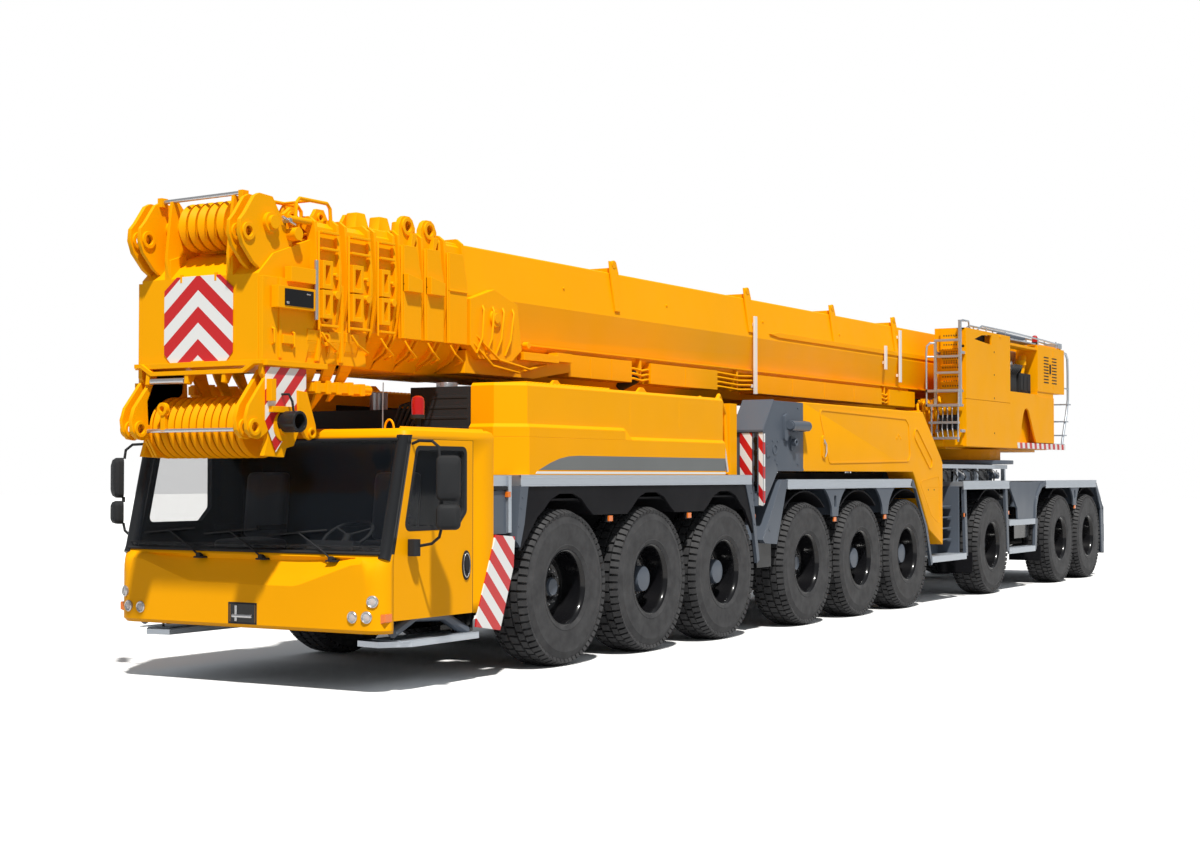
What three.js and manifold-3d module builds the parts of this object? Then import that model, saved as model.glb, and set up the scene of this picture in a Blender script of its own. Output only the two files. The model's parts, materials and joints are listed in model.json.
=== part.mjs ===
// A nine-axle all-terrain telescopic crane, standing on its tyres with the boom laid forward for the road.
// Millimetres, +Z up. The front faces -Y and the driver's left is +X. The origin is on the ground, under the
// middle of the overall length. Places along the machine are given as a distance behind the first axle.

import * as THREE from 'three';
import { mergeVertices } from 'three/addons/utils/BufferGeometryUtils.js';
import Module from 'manifold-3d';

const wasm = await Module();
wasm.setup();

// ---- Driving dimensions ----

const FRONT_OVERHANG = 3600;      // boom head in front of the first axle
const OVERALL_LENGTH = 22500;
const HALF_WIDTH = 1490;          // over the tyres and the body sides
const TOUCH = 0.3;                // gap between pieces that rest on each other
const RUNNING = 0.5;              // gap in a pin joint or slide

const AXLES = [0, 1650, 3300, 5500, 7150, 8800, 12320, 15850, 17500];
const STEERED = [0, 1, 2, 7, 8];
const TYRE_RADIUS = 740;
const TYRE_WIDTH = 445;
const TYRE_FACETS = 20;
const RIM_RADIUS = 290;
const HUB_RADIUS = 130;
const HUB_SEAT = 1170;            // inner face of every hub, from the centre line
const KINGPIN_X = HUB_SEAT - 240;
const AXLE_BEAM = { low: 620, high: 860, half: 100 };
const SPINDLE_RADIUS = 120;

const FRAME = { half: 520, low: 980, high: 1620, front: -1150, rear: 18480 };
const DECK = { front: -800, rear: 3960, low: 1700, high: 1800 };
const MIDDLE_DECK = { front: 4920, rear: 8930, low: 1640, high: 1750 };
const REAR_DECK = { front: 11000, rear: 18000, low: 1640, high: 1710 };

const CAB = { front: -2850, rear: -1200, low: 500, sill: 560, floor: 720, top: 2190, wall: 60 };
const SCREEN = { low: 1150, high: 2130, half: HALF_WIDTH - 145, thick: 12 };
const DOOR = { front: -2690, rear: -1560, low: 600, high: 2100, gap: 5 };
const DOOR_HINGE = { x: HALF_WIDTH + 10, d: -2688, radius: 10, lows: [700, 1000], high: 60 };
const MIRROR = { inner: HALF_WIDTH + 250, outer: HALF_WIDTH + 490, front: -2500, rear: -2420 };

const COVER = { front: -900, rear: 3300, high: 2650, bay: 980, chamfer: 240 };

const OUTRIGGER = {
  inner: HALF_WIDTH - 390, outer: HALF_WIDTH, low: 1850, high: 2680, front: 4240, split: 5370,
};
const OUTRIGGER_PIVOT = { x: HALF_WIDTH - 210, d: 9860 };
const OUTRIGGER_TONGUE = { low: 1500, high: 1620, radius: 280 };
const JACK = { x: HALF_WIDTH - 195, d: 4430, tube: 130, rod: 90, foot: 250 };

const SLEW_CENTRE = 13200;
const SLEW_PLATE = { radius: 1450, low: 1980, high: 2040 };

const BOOM_PIVOT = { d: 13900, z: 3500 };
const BOOM = { half: 720, top: 3980, crease: 3500, bottom: 3100, keel: 2740, front: -950, rear: 14600 };
const CHEEK = { inner: BOOM.half + 80, outer: BOOM.half + 240 };   // the boom's foot swings between them
const TURNTABLE = { half: CHEEK.outer, low: 2200, high: 2420, front: 11050, rear: 16100 };
const HOUSING = { outer: HALF_WIDTH - 40, front: 11250, low: 2230, high: 4000 };
const LADDER = {
  inner: 1000, outer: HOUSING.outer - 10, front: 11040, stringer: 40, low: 2320, high: 3960,
};

const BOOM_STEP = { side: 60, rise: 45, slack: 8 };   // how much smaller each telescopic section is
const COLLAR = { length: 310, pitch: 330 };
const LUFF_LOW = { d: 11300, z: 2900 };
const LUFF_HIGH = { d: 5500, z: 2900 };
const LUFF = { barrel: 170, bore: 125, rod: 120, channel: 240 };

// ---- Colours ----

const paint = (color, roughness, metalness = 0) => (
  new THREE.MeshStandardMaterial({ color, roughness, metalness }));
const YELLOW = paint(0xf5a800, 0.35);
const GREY = paint(0x6c7580, 0.5);
const DARK = paint(0x2a2c2f, 0.6);
const ALUMINIUM = paint(0xb0b8c2, 0.4, 0.8);
const RUBBER = paint(0x2b2b2d, 0.85);
const STEEL = paint(0x9a9da1, 0.3, 0.9);
const GLASS = paint(0x20262b, 0.1);

// ---- Shapes ----

const aft = (distance) => distance - OVERALL_LENGTH / 2 + FRONT_OVERHANG;

function solid(geometry, matrix = new THREE.Matrix4()) {
  geometry.deleteAttribute('normal');
  geometry.deleteAttribute('uv');
  const merged = mergeVertices(geometry, 1e-3).applyMatrix4(matrix);
  return new wasm.Manifold(new wasm.Mesh({
    numProp: 3,
    vertProperties: merged.attributes.position.array,
    triVerts: new Uint32Array(merged.index.array),
  }));
}

function extruded(outline, depth) {
  const shape = new THREE.Shape(outline.map(([a, b]) => new THREE.Vector2(a, b)));
  return new THREE.ExtrudeGeometry(shape, { depth, bevelEnabled: false });
}

// A side outline of [distance behind the first axle, height], carried across from x0 to x1.
function across(x0, x1, outline) {
  const turn = new THREE.Matrix4().makeBasis(
    new THREE.Vector3(0, 1, 0), new THREE.Vector3(0, 0, 1), new THREE.Vector3(1, 0, 0));
  turn.setPosition(x0, 0, 0);
  return solid(extruded(outline.map(([d, z]) => [aft(d), z]), x1 - x0), turn);
}

// A cross-section of [x, height], carried rearwards from d0 to d1.
function lengthwise(d0, d1, outline) {
  const turn = new THREE.Matrix4().makeBasis(
    new THREE.Vector3(1, 0, 0), new THREE.Vector3(0, 0, 1), new THREE.Vector3(0, -1, 0));
  turn.setPosition(0, aft(d1), 0);
  return solid(extruded(outline, d1 - d0), turn);
}

// A plan outline of [x, distance behind the first axle], carried up from z0 to z1.
function upward(z0, z1, outline) {
  const lift = new THREE.Matrix4().makeTranslation(0, 0, z0);
  return solid(extruded(outline.map(([x, d]) => [x, aft(d)]), z1 - z0), lift);
}

function block(x0, x1, d0, d1, z0, z1) {
  const centre = new THREE.Matrix4().makeTranslation((x0 + x1) / 2, aft((d0 + d1) / 2), (z0 + z1) / 2);
  return solid(new THREE.BoxGeometry(x1 - x0, d1 - d0, z1 - z0), centre);
}

// A round bar between two points of [x, distance, height].
function bar(from, to, radius, sides = 12) {
  const a = new THREE.Vector3(from[0], aft(from[1]), from[2]);
  const b = new THREE.Vector3(to[0], aft(to[1]), to[2]);
  const along = b.clone().sub(a);
  const matrix = new THREE.Matrix4().compose(
    a.clone().add(b).multiplyScalar(0.5),
    new THREE.Quaternion().setFromUnitVectors(new THREE.Vector3(0, 1, 0), along.clone().normalize()),
    new THREE.Vector3(1, 1, 1));
  return solid(new THREE.CylinderGeometry(radius, radius, along.length(), sides), matrix);
}

const upright = (x, d, z0, z1, radius, sides = 16) => bar([x, d, z0], [x, d, z1], radius, sides);
const crossbar = (x0, x1, d, z, radius, sides = 16) => bar([x0, d, z], [x1, d, z], radius, sides);

function mirrored(original) {
  const mesh = original.getMesh();
  const vertProperties = mesh.vertProperties.slice();
  for (let i = 0; i < vertProperties.length; i += 3) vertProperties[i] *= -1;
  const triVerts = mesh.triVerts.slice();
  for (let i = 0; i < triVerts.length; i += 3) {
    [triVerts[i], triVerts[i + 1]] = [triVerts[i + 1], triVerts[i]];
  }
  return new wasm.Manifold(new wasm.Mesh({ numProp: 3, vertProperties, triVerts }));
}

const join = (...solids) => solids.reduce((sum, next) => sum.add(next));
const cut = (from, ...tools) => tools.reduce((rest, tool) => rest.subtract(tool), from);
const bothSides = (left) => join(left, mirrored(left));

// A quarter-by-quarter arc of plan points about a centre, from one angle to another in degrees.
function arc(x, y, radius, from, to, steps) {
  return Array.from({ length: steps + 1 }, (_, i) => {
    const angle = THREE.MathUtils.degToRad(from + ((to - from) * i) / steps);
    return [x + radius * Math.cos(angle), y + radius * Math.sin(angle)];
  });
}

const crane = new THREE.Group();

function piece(name, shape, material) {
  const { vertProperties, triVerts } = shape.getMesh();
  const geometry = new THREE.BufferGeometry();
  geometry.setAttribute('position', new THREE.BufferAttribute(vertProperties, 3));
  geometry.setIndex(new THREE.BufferAttribute(triVerts, 1));
  geometry.computeVertexNormals();
  const mesh = new THREE.Mesh(geometry, material);
  mesh.name = name;
  crane.add(mesh);
}

const SIDES = { left: (shape) => shape, right: mirrored };

// ---- Wheels, knuckles and axles ----

function wheel(d) {
  const inner = HALF_WIDTH - TYRE_WIDTH;
  const flat = TYRE_RADIUS / Math.cos(Math.PI / TYRE_FACETS);
  const shoulder = TYRE_RADIUS - 100;
  const profile = [
    [0, HUB_SEAT], [RIM_RADIUS - 20, HUB_SEAT], [RIM_RADIUS, inner], [shoulder, inner], [flat, inner + 55],
    [flat, HALF_WIDTH - 55], [shoulder, HALF_WIDTH], [RIM_RADIUS, HALF_WIDTH],
    [RIM_RADIUS - 40, HUB_SEAT + 130],
    [HUB_RADIUS, HUB_SEAT + 130], [HUB_RADIUS, HALF_WIDTH - 50], [0, HALF_WIDTH - 50],
  ];
  const lathe = new THREE.LatheGeometry(profile.map(([r, x]) => new THREE.Vector2(r, x)), TYRE_FACETS);
  lathe.rotateY(Math.PI / TYRE_FACETS);
  lathe.rotateZ(-Math.PI / 2);
  return solid(lathe, new THREE.Matrix4().makeTranslation(0, aft(d), TYRE_RADIUS));
}

function spindle(from, d) {
  return crossbar(from, HUB_SEAT - RUNNING, d, TYRE_RADIUS, SPINDLE_RADIUS);
}

// The knuckle's fork closes over the eye at the axle's end, and its spindle carries the hub.
function knuckle(d) {
  const web = { low: 540, high: 940, thick: 60, half: 80 };
  const eye = eyeHeights();
  const back = KINGPIN_X - 70;
  const front = KINGPIN_X + 110;
  return join(
    block(back, front, d - web.half, d + web.half, web.low, eye.low - RUNNING),
    block(back, front, d - web.half, d + web.half, eye.high + RUNNING, web.high),
    block(KINGPIN_X + 70, front, d - web.half, d + web.half, web.low, web.high),
    spindle(front - 10, d));
}

function eyeHeights() {
  return { low: AXLE_BEAM.low - 20, high: AXLE_BEAM.high + 20 };
}

function axle(d, steered) {
  const { low, high, half } = AXLE_BEAM;
  const eye = eyeHeights();
  const struts = bothSides(
    block(FRAME.half - 120, FRAME.half - 20, d - 60, d + 60, high - 10, FRAME.low - TOUCH));
  if (!steered) {
    const ends = bothSides(spindle(HUB_SEAT - 140, d));
    return join(block(130 - HUB_SEAT, HUB_SEAT - 130, d - half, d + half, low, high), struts, ends);
  }
  const end = join(
    block(KINGPIN_X - 130, KINGPIN_X, d - 50, d + 50, low, high),
    upright(KINGPIN_X, d, eye.low, eye.high, 64, 12));
  return join(block(90 - KINGPIN_X, KINGPIN_X - 90, d - half, d + half, low, high), struts, bothSides(end));
}

function axleGroup(numbers) {
  const beams = numbers.map((n) => axle(AXLES[n], STEERED.includes(n)));
  const shaft = block(-60, 60, AXLES[numbers[0]], AXLES[numbers.at(-1)], 700, 790);
  return join(...beams, shaft);
}

AXLES.forEach((d, n) => {
  for (const [side, place] of Object.entries(SIDES)) {
    piece(`wheel_${n + 1}_${side}`, place(wheel(d)), RUBBER);
    if (STEERED.includes(n)) piece(`knuckle_${n + 1}_${side}`, place(knuckle(d)), DARK);
  }
});
piece('axles_front', axleGroup([0, 1, 2]), DARK);
piece('axles_rear', axleGroup([3, 4, 5, 6, 7, 8]), DARK);

// ---- Chassis ----

function chassisFrame() {
  const { half, low, high, front, rear } = FRAME;
  const girder = block(-half, half, front, rear, low, high);
  const cabTongue = across(-480, 480, [
    [-2700, CAB.low], [-2700, CAB.floor], [front + 10, CAB.floor], [front + 10, low + 20],
    [-1000, low + 20], [-900, CAB.low]]);
  const { x, d } = OUTRIGGER_PIVOT;
  const { low: tongueLow, high: tongueHigh, radius } = OUTRIGGER_TONGUE;
  const tongue = upward(tongueLow + RUNNING, tongueHigh - RUNNING, [
    [half - 20, d - radius], ...arc(x, d, radius, -90, 90, 8), [half - 20, d + radius]]);
  const pedestal = upright(0, SLEW_CENTRE, high - 20, SLEW_PLATE.low + 10, 900, 24);
  const plate = upright(0, SLEW_CENTRE, SLEW_PLATE.low, SLEW_PLATE.high, SLEW_PLATE.radius, 32);
  const bumper = block(-1000, 1000, rear - 20, 18620, 480, 1100);
  const coupling = block(-300, 300, 18600, OVERALL_LENGTH - FRONT_OVERHANG, 760, 1060);
  return join(girder, cabTongue, bothSides(tongue), pedestal, plate, bumper, coupling);
}

// Distance of the sloping front edge of the outrigger's foot at a height.
const footFrontAt = (z) => 9020 + (1790 - z) * 0.76;

// A skirt plate hangs in the space between two wheels.
function skirt(d, top, tip, halfTop, halfTip) {
  return across(HALF_WIDTH - 40, HALF_WIDTH, [
    [d - halfTop, top], [d + halfTop, top], [d + halfTip, tip], [d - halfTip, tip]]);
}

function frontDeck() {
  const pad = block(-500, 500, DECK.front, MIDDLE_DECK.rear, FRAME.high + TOUCH, MIDDLE_DECK.high);
  const front = block(-HALF_WIDTH, HALF_WIDTH, DECK.front, DECK.rear, DECK.low, DECK.high);
  const middle = block(
    -HALF_WIDTH, HALF_WIDTH, MIDDLE_DECK.front, MIDDLE_DECK.rear, MIDDLE_DECK.low, MIDDLE_DECK.high);
  const side = join(
    across(1050, HALF_WIDTH, [
      [DECK.front, DECK.low + 10], [DECK.front + 120, DECK.low + 10], [-740, 1350], [-860, 1350]]),
    skirt((AXLES[0] + AXLES[1]) / 2, DECK.low + 10, 1420, 260, 80),
    skirt((AXLES[1] + AXLES[2]) / 2, DECK.low + 10, 1420, 260, 80),
    across(HALF_WIDTH - 40, HALF_WIDTH, [
      [3760, DECK.low + 10], [DECK.rear, DECK.low + 10], [4130, 840], [4080, 840]]),
    across(1180, HALF_WIDTH, [
      [4740, MIDDLE_DECK.high], [MIDDLE_DECK.front + 10, MIDDLE_DECK.high], [4620, 1000], [4240, 1040]]),
    skirt((AXLES[3] + AXLES[4]) / 2, MIDDLE_DECK.low + 10, 1290, 330, 90),
    skirt((AXLES[4] + AXLES[5]) / 2, MIDDLE_DECK.low + 10, 1290, 330, 90),
    across(HALF_WIDTH - 40, HALF_WIDTH, [
      [MIDDLE_DECK.rear - 10, MIDDLE_DECK.low], [MIDDLE_DECK.rear - 10, MIDDLE_DECK.high - 10],
      [footFrontAt(MIDDLE_DECK.high - 10) - 40, MIDDLE_DECK.high - 10], [footFrontAt(1100) - 40, 1100],
      [footFrontAt(1100) - 55, 1100], [footFrontAt(MIDDLE_DECK.low) - 55, MIDDLE_DECK.low]]));
  return join(pad, front, middle, bothSides(side));
}

function rearDeck() {
  const { front, rear, low, high } = REAR_DECK;
  const neck = SLEW_CENTRE - 950;
  const frontPlate = block(-HALF_WIDTH, HALF_WIDTH, front, neck, low, high);
  const rearPlate = block(-HALF_WIDTH, HALF_WIDTH, 15000, rear, low, high - 10);
  const pads = join(
    block(-500, 500, front, neck, FRAME.high + TOUCH, low + 10),
    block(-500, 500, 15000, rear, FRAME.high + TOUCH, low + 10));
  const side = join(
    block(950, HALF_WIDTH, neck - 10, 13100, low, high),
    block(950, 1060, neck - 10, 15010, low, high),
    across(1050, HALF_WIDTH, [
      [15010, low], [15010, high - 10], [14760, 1660], [14560, 1520], [14440, 1320], [14440, 1180],
      [14500, 1180], [14500, 1310], [14610, 1480], [14790, 1600]]),
    across(1050, HALF_WIDTH, [
      [rear - 60, low], [rear - 10, high - 10], [18420, 1260], [18470, 1240], [18470, 400],
      [18440, 400], [18440, 1200], [18380, 1230]]));
  return join(frontPlate, rearPlate, pads, bothSides(side));
}

piece('chassis_frame', chassisFrame(), GREY);
piece('deck_front', frontDeck(), ALUMINIUM);
piece('deck_rear', rearDeck(), ALUMINIUM);

// ---- Engine and its cover ----

function engineCover() {
  const low = DECK.high + TOUCH;
  const { front, rear, high, bay, chamfer } = COVER;
  const housing = upward(low, high, [
    [bay, front], [HALF_WIDTH - chamfer, front], [HALF_WIDTH, front + chamfer], [HALF_WIDTH, rear],
    [bay, rear]]);
  const floor = block(-bay - 10, bay + 10, front, rear, low, low + 40);
  const bulkhead = block(-bay - 10, bay + 10, rear - 80, rear, low, high - 150);
  return join(bothSides(housing), floor, bulkhead);
}

piece('engine_cover', engineCover(), YELLOW);
piece('engine_block', block(-600, 600, -600, 1900, DECK.high + 40 + 2 * TOUCH, 2400), DARK);

// ---- Driver's cab ----

// Depth of the raked screen's outer face at a height.
const screenAt = (z) => -2780 + ((z - 1120) * 260) / 1070;

function doorOutline(grow) {
  const lean = (z) => screenAt(z) + 90 - grow;
  return [
    [DOOR.front - grow, DOOR.low - grow], [DOOR.rear + grow, DOOR.low - grow],
    [DOOR.rear + grow, DOOR.high + grow], [lean(DOOR.high), DOOR.high + grow], [DOOR.front - grow, 1120]];
}

function cabShell() {
  const { front, rear, low, sill, floor, top, wall } = CAB;
  const body = across(-HALF_WIDTH, HALF_WIDTH, [
    [front, low], [front, 1000], [screenAt(1120), 1120], [screenAt(top), top], [rear - 40, top],
    [rear, top - 160], [rear, sill], [-1550, sill], [-2600, sill], [-2640, low]]);
  const inside = across(wall - HALF_WIDTH, HALF_WIDTH - wall, [
    [front + 50, floor + 80], [front + 50, 1000], [screenAt(1120) + 50, 1120],
    [screenAt(top - 50) + 50, top - 50],
    [rear - 50, top - 50], [rear - 50, floor + 80]]);
  const under = block(wall - HALF_WIDTH, HALF_WIDTH - wall, front + 50, rear + 50, low - 50, floor + TOUCH);
  const doorway = across(HALF_WIDTH - wall - 1, HALF_WIDTH + 50, doorOutline(DOOR.gap));
  const screen = block(-SCREEN.half, SCREEN.half, front - 50, screenAt(top) + 40, SCREEN.low, SCREEN.high);
  const { x, d, radius, lows, high } = DOOR_HINGE;
  const hinges = lows.map((z) => join(
    upright(x, d, z + high + TOUCH, z + 2 * high, radius, 12),
    block(HALF_WIDTH - 2, x, d - 40, d - radius + 2, z + high + TOUCH, z + 2 * high)));
  return join(cut(body, inside, under, doorway, mirrored(doorway), screen), bothSides(join(...hinges)));
}

function windscreen() {
  const low = SCREEN.low + TOUCH;
  const high = SCREEN.high - TOUCH;
  const half = SCREEN.half - TOUCH;
  return across(-half, half, [
    [screenAt(low) + 3, low], [screenAt(high) + 3, high],
    [screenAt(high) + 3 + SCREEN.thick, high], [screenAt(low) + 3 + SCREEN.thick, low]]);
}

// The door carries its mirrors on one arm at the top of the window frame.
function cabDoor() {
  const inner = HALF_WIDTH - CAB.wall + 2;
  const panel = across(inner, HALF_WIDTH, doorOutline(0));
  const window = across(inner - 10, HALF_WIDTH + 10, [
    [screenAt(1350) + 190, 1350], [-1760, 1350], [-1640, 1500], [-1640, 2040],
    [screenAt(2040) + 190, 2040]]);
  const { inner: near, outer: far, front, rear } = MIRROR;
  const mirrors = join(
    block(HALF_WIDTH - 20, near + 40, rear - 40, rear, 2050, 2085),
    block(near, near + 40, rear - 40, rear, 1400, 2085),
    block(near, far, front, rear - 20, 1590, 1960),
    block(near + 30, far, front, rear - 20, 1360, 1560));
  const { x, d, radius, lows, high } = DOOR_HINGE;
  const hinges = lows.map((z) => join(
    upright(x, d, z, z + high, radius, 12),
    block(HALF_WIDTH - 2, x, d, d + 40, z, z + high)));
  return join(cut(panel, window), mirrors, ...hinges);
}

function cabInterior() {
  const floor = CAB.floor + 80 + TOUCH;
  const seat = (x) => join(
    block(x - 110, x + 110, -2050, -1800, floor, 1110),
    block(x - 250, x + 250, -2150, -1660, 1100, 1230),
    block(x - 250, x + 250, -1740, -1620, 1220, 1850));
  return join(
    block(-1200, 1200, -2500, -1500, floor, floor + 20),
    block(110 - HALF_WIDTH, HALF_WIDTH - 110, -2720, -2480, floor, 1160),
    seat(750), seat(-750),
    bar([750, -2500, 1060], [750, -2360, 1290], 30, 8),
    bar([750, -2380, 1270], [750, -2360, 1300], 230, 16));
}

piece('cab_shell', cabShell(), YELLOW);
piece('windscreen', windscreen(), GLASS);
piece('cab_interior', cabInterior(), DARK);
for (const [side, place] of Object.entries(SIDES)) piece(`cab_door_${side}`, place(cabDoor()), YELLOW);

// ---- Folding outriggers ----

const SLEEVE = { wall: 35, low: 1880, high: 2600, end: 9250 };

// The outer beam swings about a tongue on the chassis, held in a slot through its foot.
function outriggerBeam() {
  const { inner, outer, low, high, split } = OUTRIGGER;
  const body = across(inner, outer, [
    [split, low], [split, high], [9350, high], [10070, 2050], [10120, 1990], [10120, 815],
    [footFrontAt(1040), 1040], [footFrontAt(1790), 1790], [8960, low]]);
  const sleeve = block(
    inner + SLEEVE.wall, outer - SLEEVE.wall, split - 10, SLEEVE.end, SLEEVE.low, SLEEVE.high);
  const slot = block(inner - 10, outer + 10, OUTRIGGER_PIVOT.d - OUTRIGGER_TONGUE.radius - 80, 10200,
    OUTRIGGER_TONGUE.low, OUTRIGGER_TONGUE.high);
  return cut(body, sleeve, slot);
}

function outriggerHead() {
  const { inner, outer, low, high, front, split } = OUTRIGGER;
  const body = across(inner, outer, [
    [front + 20, 1440], [front + 20, 2300], [front, 2320], [front + 280, high - 10], [split - 10, high - 10],
    [split - 10, low], [4650, low]]);
  const slack = 6;
  const slide = block(inner + SLEEVE.wall + slack, outer - SLEEVE.wall - slack, split - 20, SLEEVE.end - 20,
    SLEEVE.low + RUNNING, SLEEVE.high - slack);
  const pocket = block(inner + 20, outer - 20, front + 45, 4700, 1400, 1700);
  const bore = upright(JACK.x, JACK.d, 1600, 2640, JACK.tube + RUNNING);
  return cut(join(body, slide), pocket, bore);
}

function jackTube() {
  const tube = upright(JACK.x, JACK.d, 1650, 2630, JACK.tube);
  return cut(tube, upright(JACK.x, JACK.d, 1600, 2610, JACK.rod + RUNNING));
}

function jackFoot() {
  const half = JACK.foot / 2;
  return join(
    block(JACK.x - half, JACK.x + half, JACK.d - half, JACK.d + half, 1570, 1620),
    upright(JACK.x, JACK.d, 1600, 2600, JACK.rod));
}

for (const [side, place] of Object.entries(SIDES)) {
  piece(`outrigger_beam_${side}`, place(outriggerBeam()), YELLOW);
  piece(`outrigger_head_${side}`, place(outriggerHead()), GREY);
  piece(`jack_tube_${side}`, place(jackTube()), STEEL);
  piece(`jack_foot_${side}`, place(jackFoot()), STEEL);
}

// ---- Superstructure ----

const WINCH = { d: 15450, z: 2990, half: 450, radius: 300, flange: 370 };
const CRANE_CAB = {
  inner: -620, outer: 10 - HALF_WIDTH, front: 15000, rear: 16500, low: 2730, high: 3950, wall: 45,
};

function turntable() {
  const { half, low, high, front, rear } = TURNTABLE;
  const ring = upright(0, SLEW_CENTRE, SLEW_PLATE.high + RUNNING, low + 10, 1250, 32);
  const slab = block(-half, half, 11700, rear, low, high);
  const nose = across(-500, 500, [[front, 2480], [front, 2620], [11900, 2620], [11900, low], [11700, low]]);
  const cheek = across(CHEEK.inner, CHEEK.outer, [
    [12900, high - 10], [13350, 3850], [14450, 3850], [15300, high - 10]]);
  const pivot = crossbar(BOOM.half + RUNNING, CHEEK.inner + 10, BOOM_PIVOT.d, BOOM_PIVOT.z, 90);
  const eye = LUFF.barrel + 10;
  const lug = across(eye + RUNNING, eye + 80, [
    [LUFF_LOW.d - 150, 2600], [LUFF_LOW.d - 130, 3000], [LUFF_LOW.d - 60, 3040], [LUFF_LOW.d + 60, 3040],
    [LUFF_LOW.d + 130, 3000], [LUFF_LOW.d + 220, 2600]]);
  const winchSide = across(WINCH.half + RUNNING, WINCH.half + 70, [
    [WINCH.d - 300, high - 10], [WINCH.d - 150, WINCH.z + 120], [WINCH.d + 150, WINCH.z + 120],
    [WINCH.d + 300, high - 10]]);
  const cabSeat = block(CRANE_CAB.outer + 230, CRANE_CAB.inner, CRANE_CAB.front + 100, rear,
    high - 10, CRANE_CAB.low - TOUCH);
  const paired = [cheek, pivot, lug, winchSide].map(bothSides);
  return join(ring, slab, nose, ...paired, cabSeat);
}

// The access ladder stands in front of the left housing on short brackets.
function accessLadder() {
  const { inner, outer, front, stringer, low, high } = LADDER;
  const sides = [inner, outer - stringer].map((x) => join(
    block(x, x + stringer, front, front + 50, low, high),
    ...[2440, 3600].map((z) => block(x, x + stringer, front + 40, HOUSING.front + 10, z, z + 40))));
  const rungs = [2400, 2680, 2960, 3240, 3520, 3800].map((z) => (
    block(inner + 20, outer, front + 5, front + 45, z, z + 30)));
  return join(...sides, ...rungs);
}

function leftHousing() {
  const { outer, front, low, high } = HOUSING;
  const body = across(CHEEK.outer + TOUCH, outer, [
    [front, low], [front, high], [13300, high], [13300, 3100], [14700, 3100], [14700, 3950], [16200, 3950],
    [16200, 3180], [15600, 3100], [15600, low]]);
  return join(body, accessLadder());
}

function rightHousing() {
  const { outer, front, low, high } = HOUSING;
  return across(-outer, -CHEEK.outer - TOUCH, [
    [front, low], [front, high], [13300, high], [13300, 3100], [14700, 3100], [14700, low]]);
}

function winchDrum() {
  const { d, z, half, radius, flange } = WINCH;
  return join(
    crossbar(-half, half, d, z, radius, 24),
    crossbar(-half + 5, -half + 35, d, z, flange, 24),
    crossbar(half - 35, half - 5, d, z, flange, 24));
}

function craneCab() {
  const { inner, outer, front, rear, low, high, wall } = CRANE_CAB;
  const body = across(outer, inner, [
    [front + 120, low], [front, low + 260], [front + 150, high], [rear, high], [rear, low]]);
  const inside = across(outer + wall, inner - wall, [
    [front + 160, low + wall], [front + 60, low + 260], [front + 195, high - wall],
    [rear - wall, high - wall],
    [rear - wall, low + wall]]);
  const sideWindow = across(outer - 10, inner + 10, [
    [front + 180, low + 420], [front + 250, high - 110], [rear - 200, high - 110], [rear - 200, low + 420]]);
  const frontWindow = block(outer + 80, inner - 80, front - 50, front + 400, low + 300, high - 100);
  const middle = (outer + inner) / 2;
  const seat = join(
    block(middle - 110, middle + 110, 15800, 16000, low + wall - 1, low + 350),
    block(middle - 240, middle + 240, 15600, 16100, low + 340, low + 450),
    block(middle - 240, middle + 240, 16000, 16100, low + 440, low + 950));
  return join(cut(body, inside, sideWindow, frontWindow), seat);
}

piece('turntable', turntable(), YELLOW);
piece('housing_left', leftHousing(), YELLOW);
piece('housing_right', rightHousing(), YELLOW);
piece('winch_drum', winchDrum(), STEEL);
piece('crane_cab', craneCab(), YELLOW);

// ---- Boom ----

// The six-sided outline of a section, from the outermost (0) to the innermost (4), grown by a clearance.
function sectionOutline(level, grow = 0, drop = grow) {
  const side = level * BOOM_STEP.side - grow;
  const top = BOOM.top - level * BOOM_STEP.rise + grow;
  const bottom = BOOM.bottom + level * BOOM_STEP.rise - drop;
  const crease = BOOM.half - side;
  return [
    [crease - 60, top], [crease, BOOM.crease], [crease - 60, bottom],
    [60 - crease, bottom], [-crease, BOOM.crease], [60 - crease, top]];
}

const boreFor = (level, d0, d1) => lengthwise(d0, d1, sectionOutline(level, BOOM_STEP.slack, RUNNING));

// A collar rings the front end of a section and reaches down as far as the base section's keel.
function collarOutline(level) {
  const half = BOOM.half + 10 - level * 15;
  const top = BOOM.top + 30 - level * 10;
  return [
    [half - 60, top], [half, BOOM.crease], [half - 50, 3060], [400, BOOM.keel + 5],
    [-400, BOOM.keel + 5], [50 - half, 3060], [-half, BOOM.crease], [60 - half, top]];
}

const collarFront = (level) => BOOM.front - level * COLLAR.pitch;

function telescopicSection(level, rear) {
  const front = collarFront(level);
  const collar = lengthwise(front, front + COLLAR.length, collarOutline(level));
  const tube = lengthwise(front + 10, rear, sectionOutline(level));
  const lug = bothSides(across(330, 450, [
    [front + 30, BOOM.top - 60], [front + 60, 4140], [front + 180, 4140],
    [front + COLLAR.length - 30, BOOM.top - 60]]));
  return cut(join(collar, tube, lug), boreFor(level + 1, front - 10, rear - 200));
}

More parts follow.
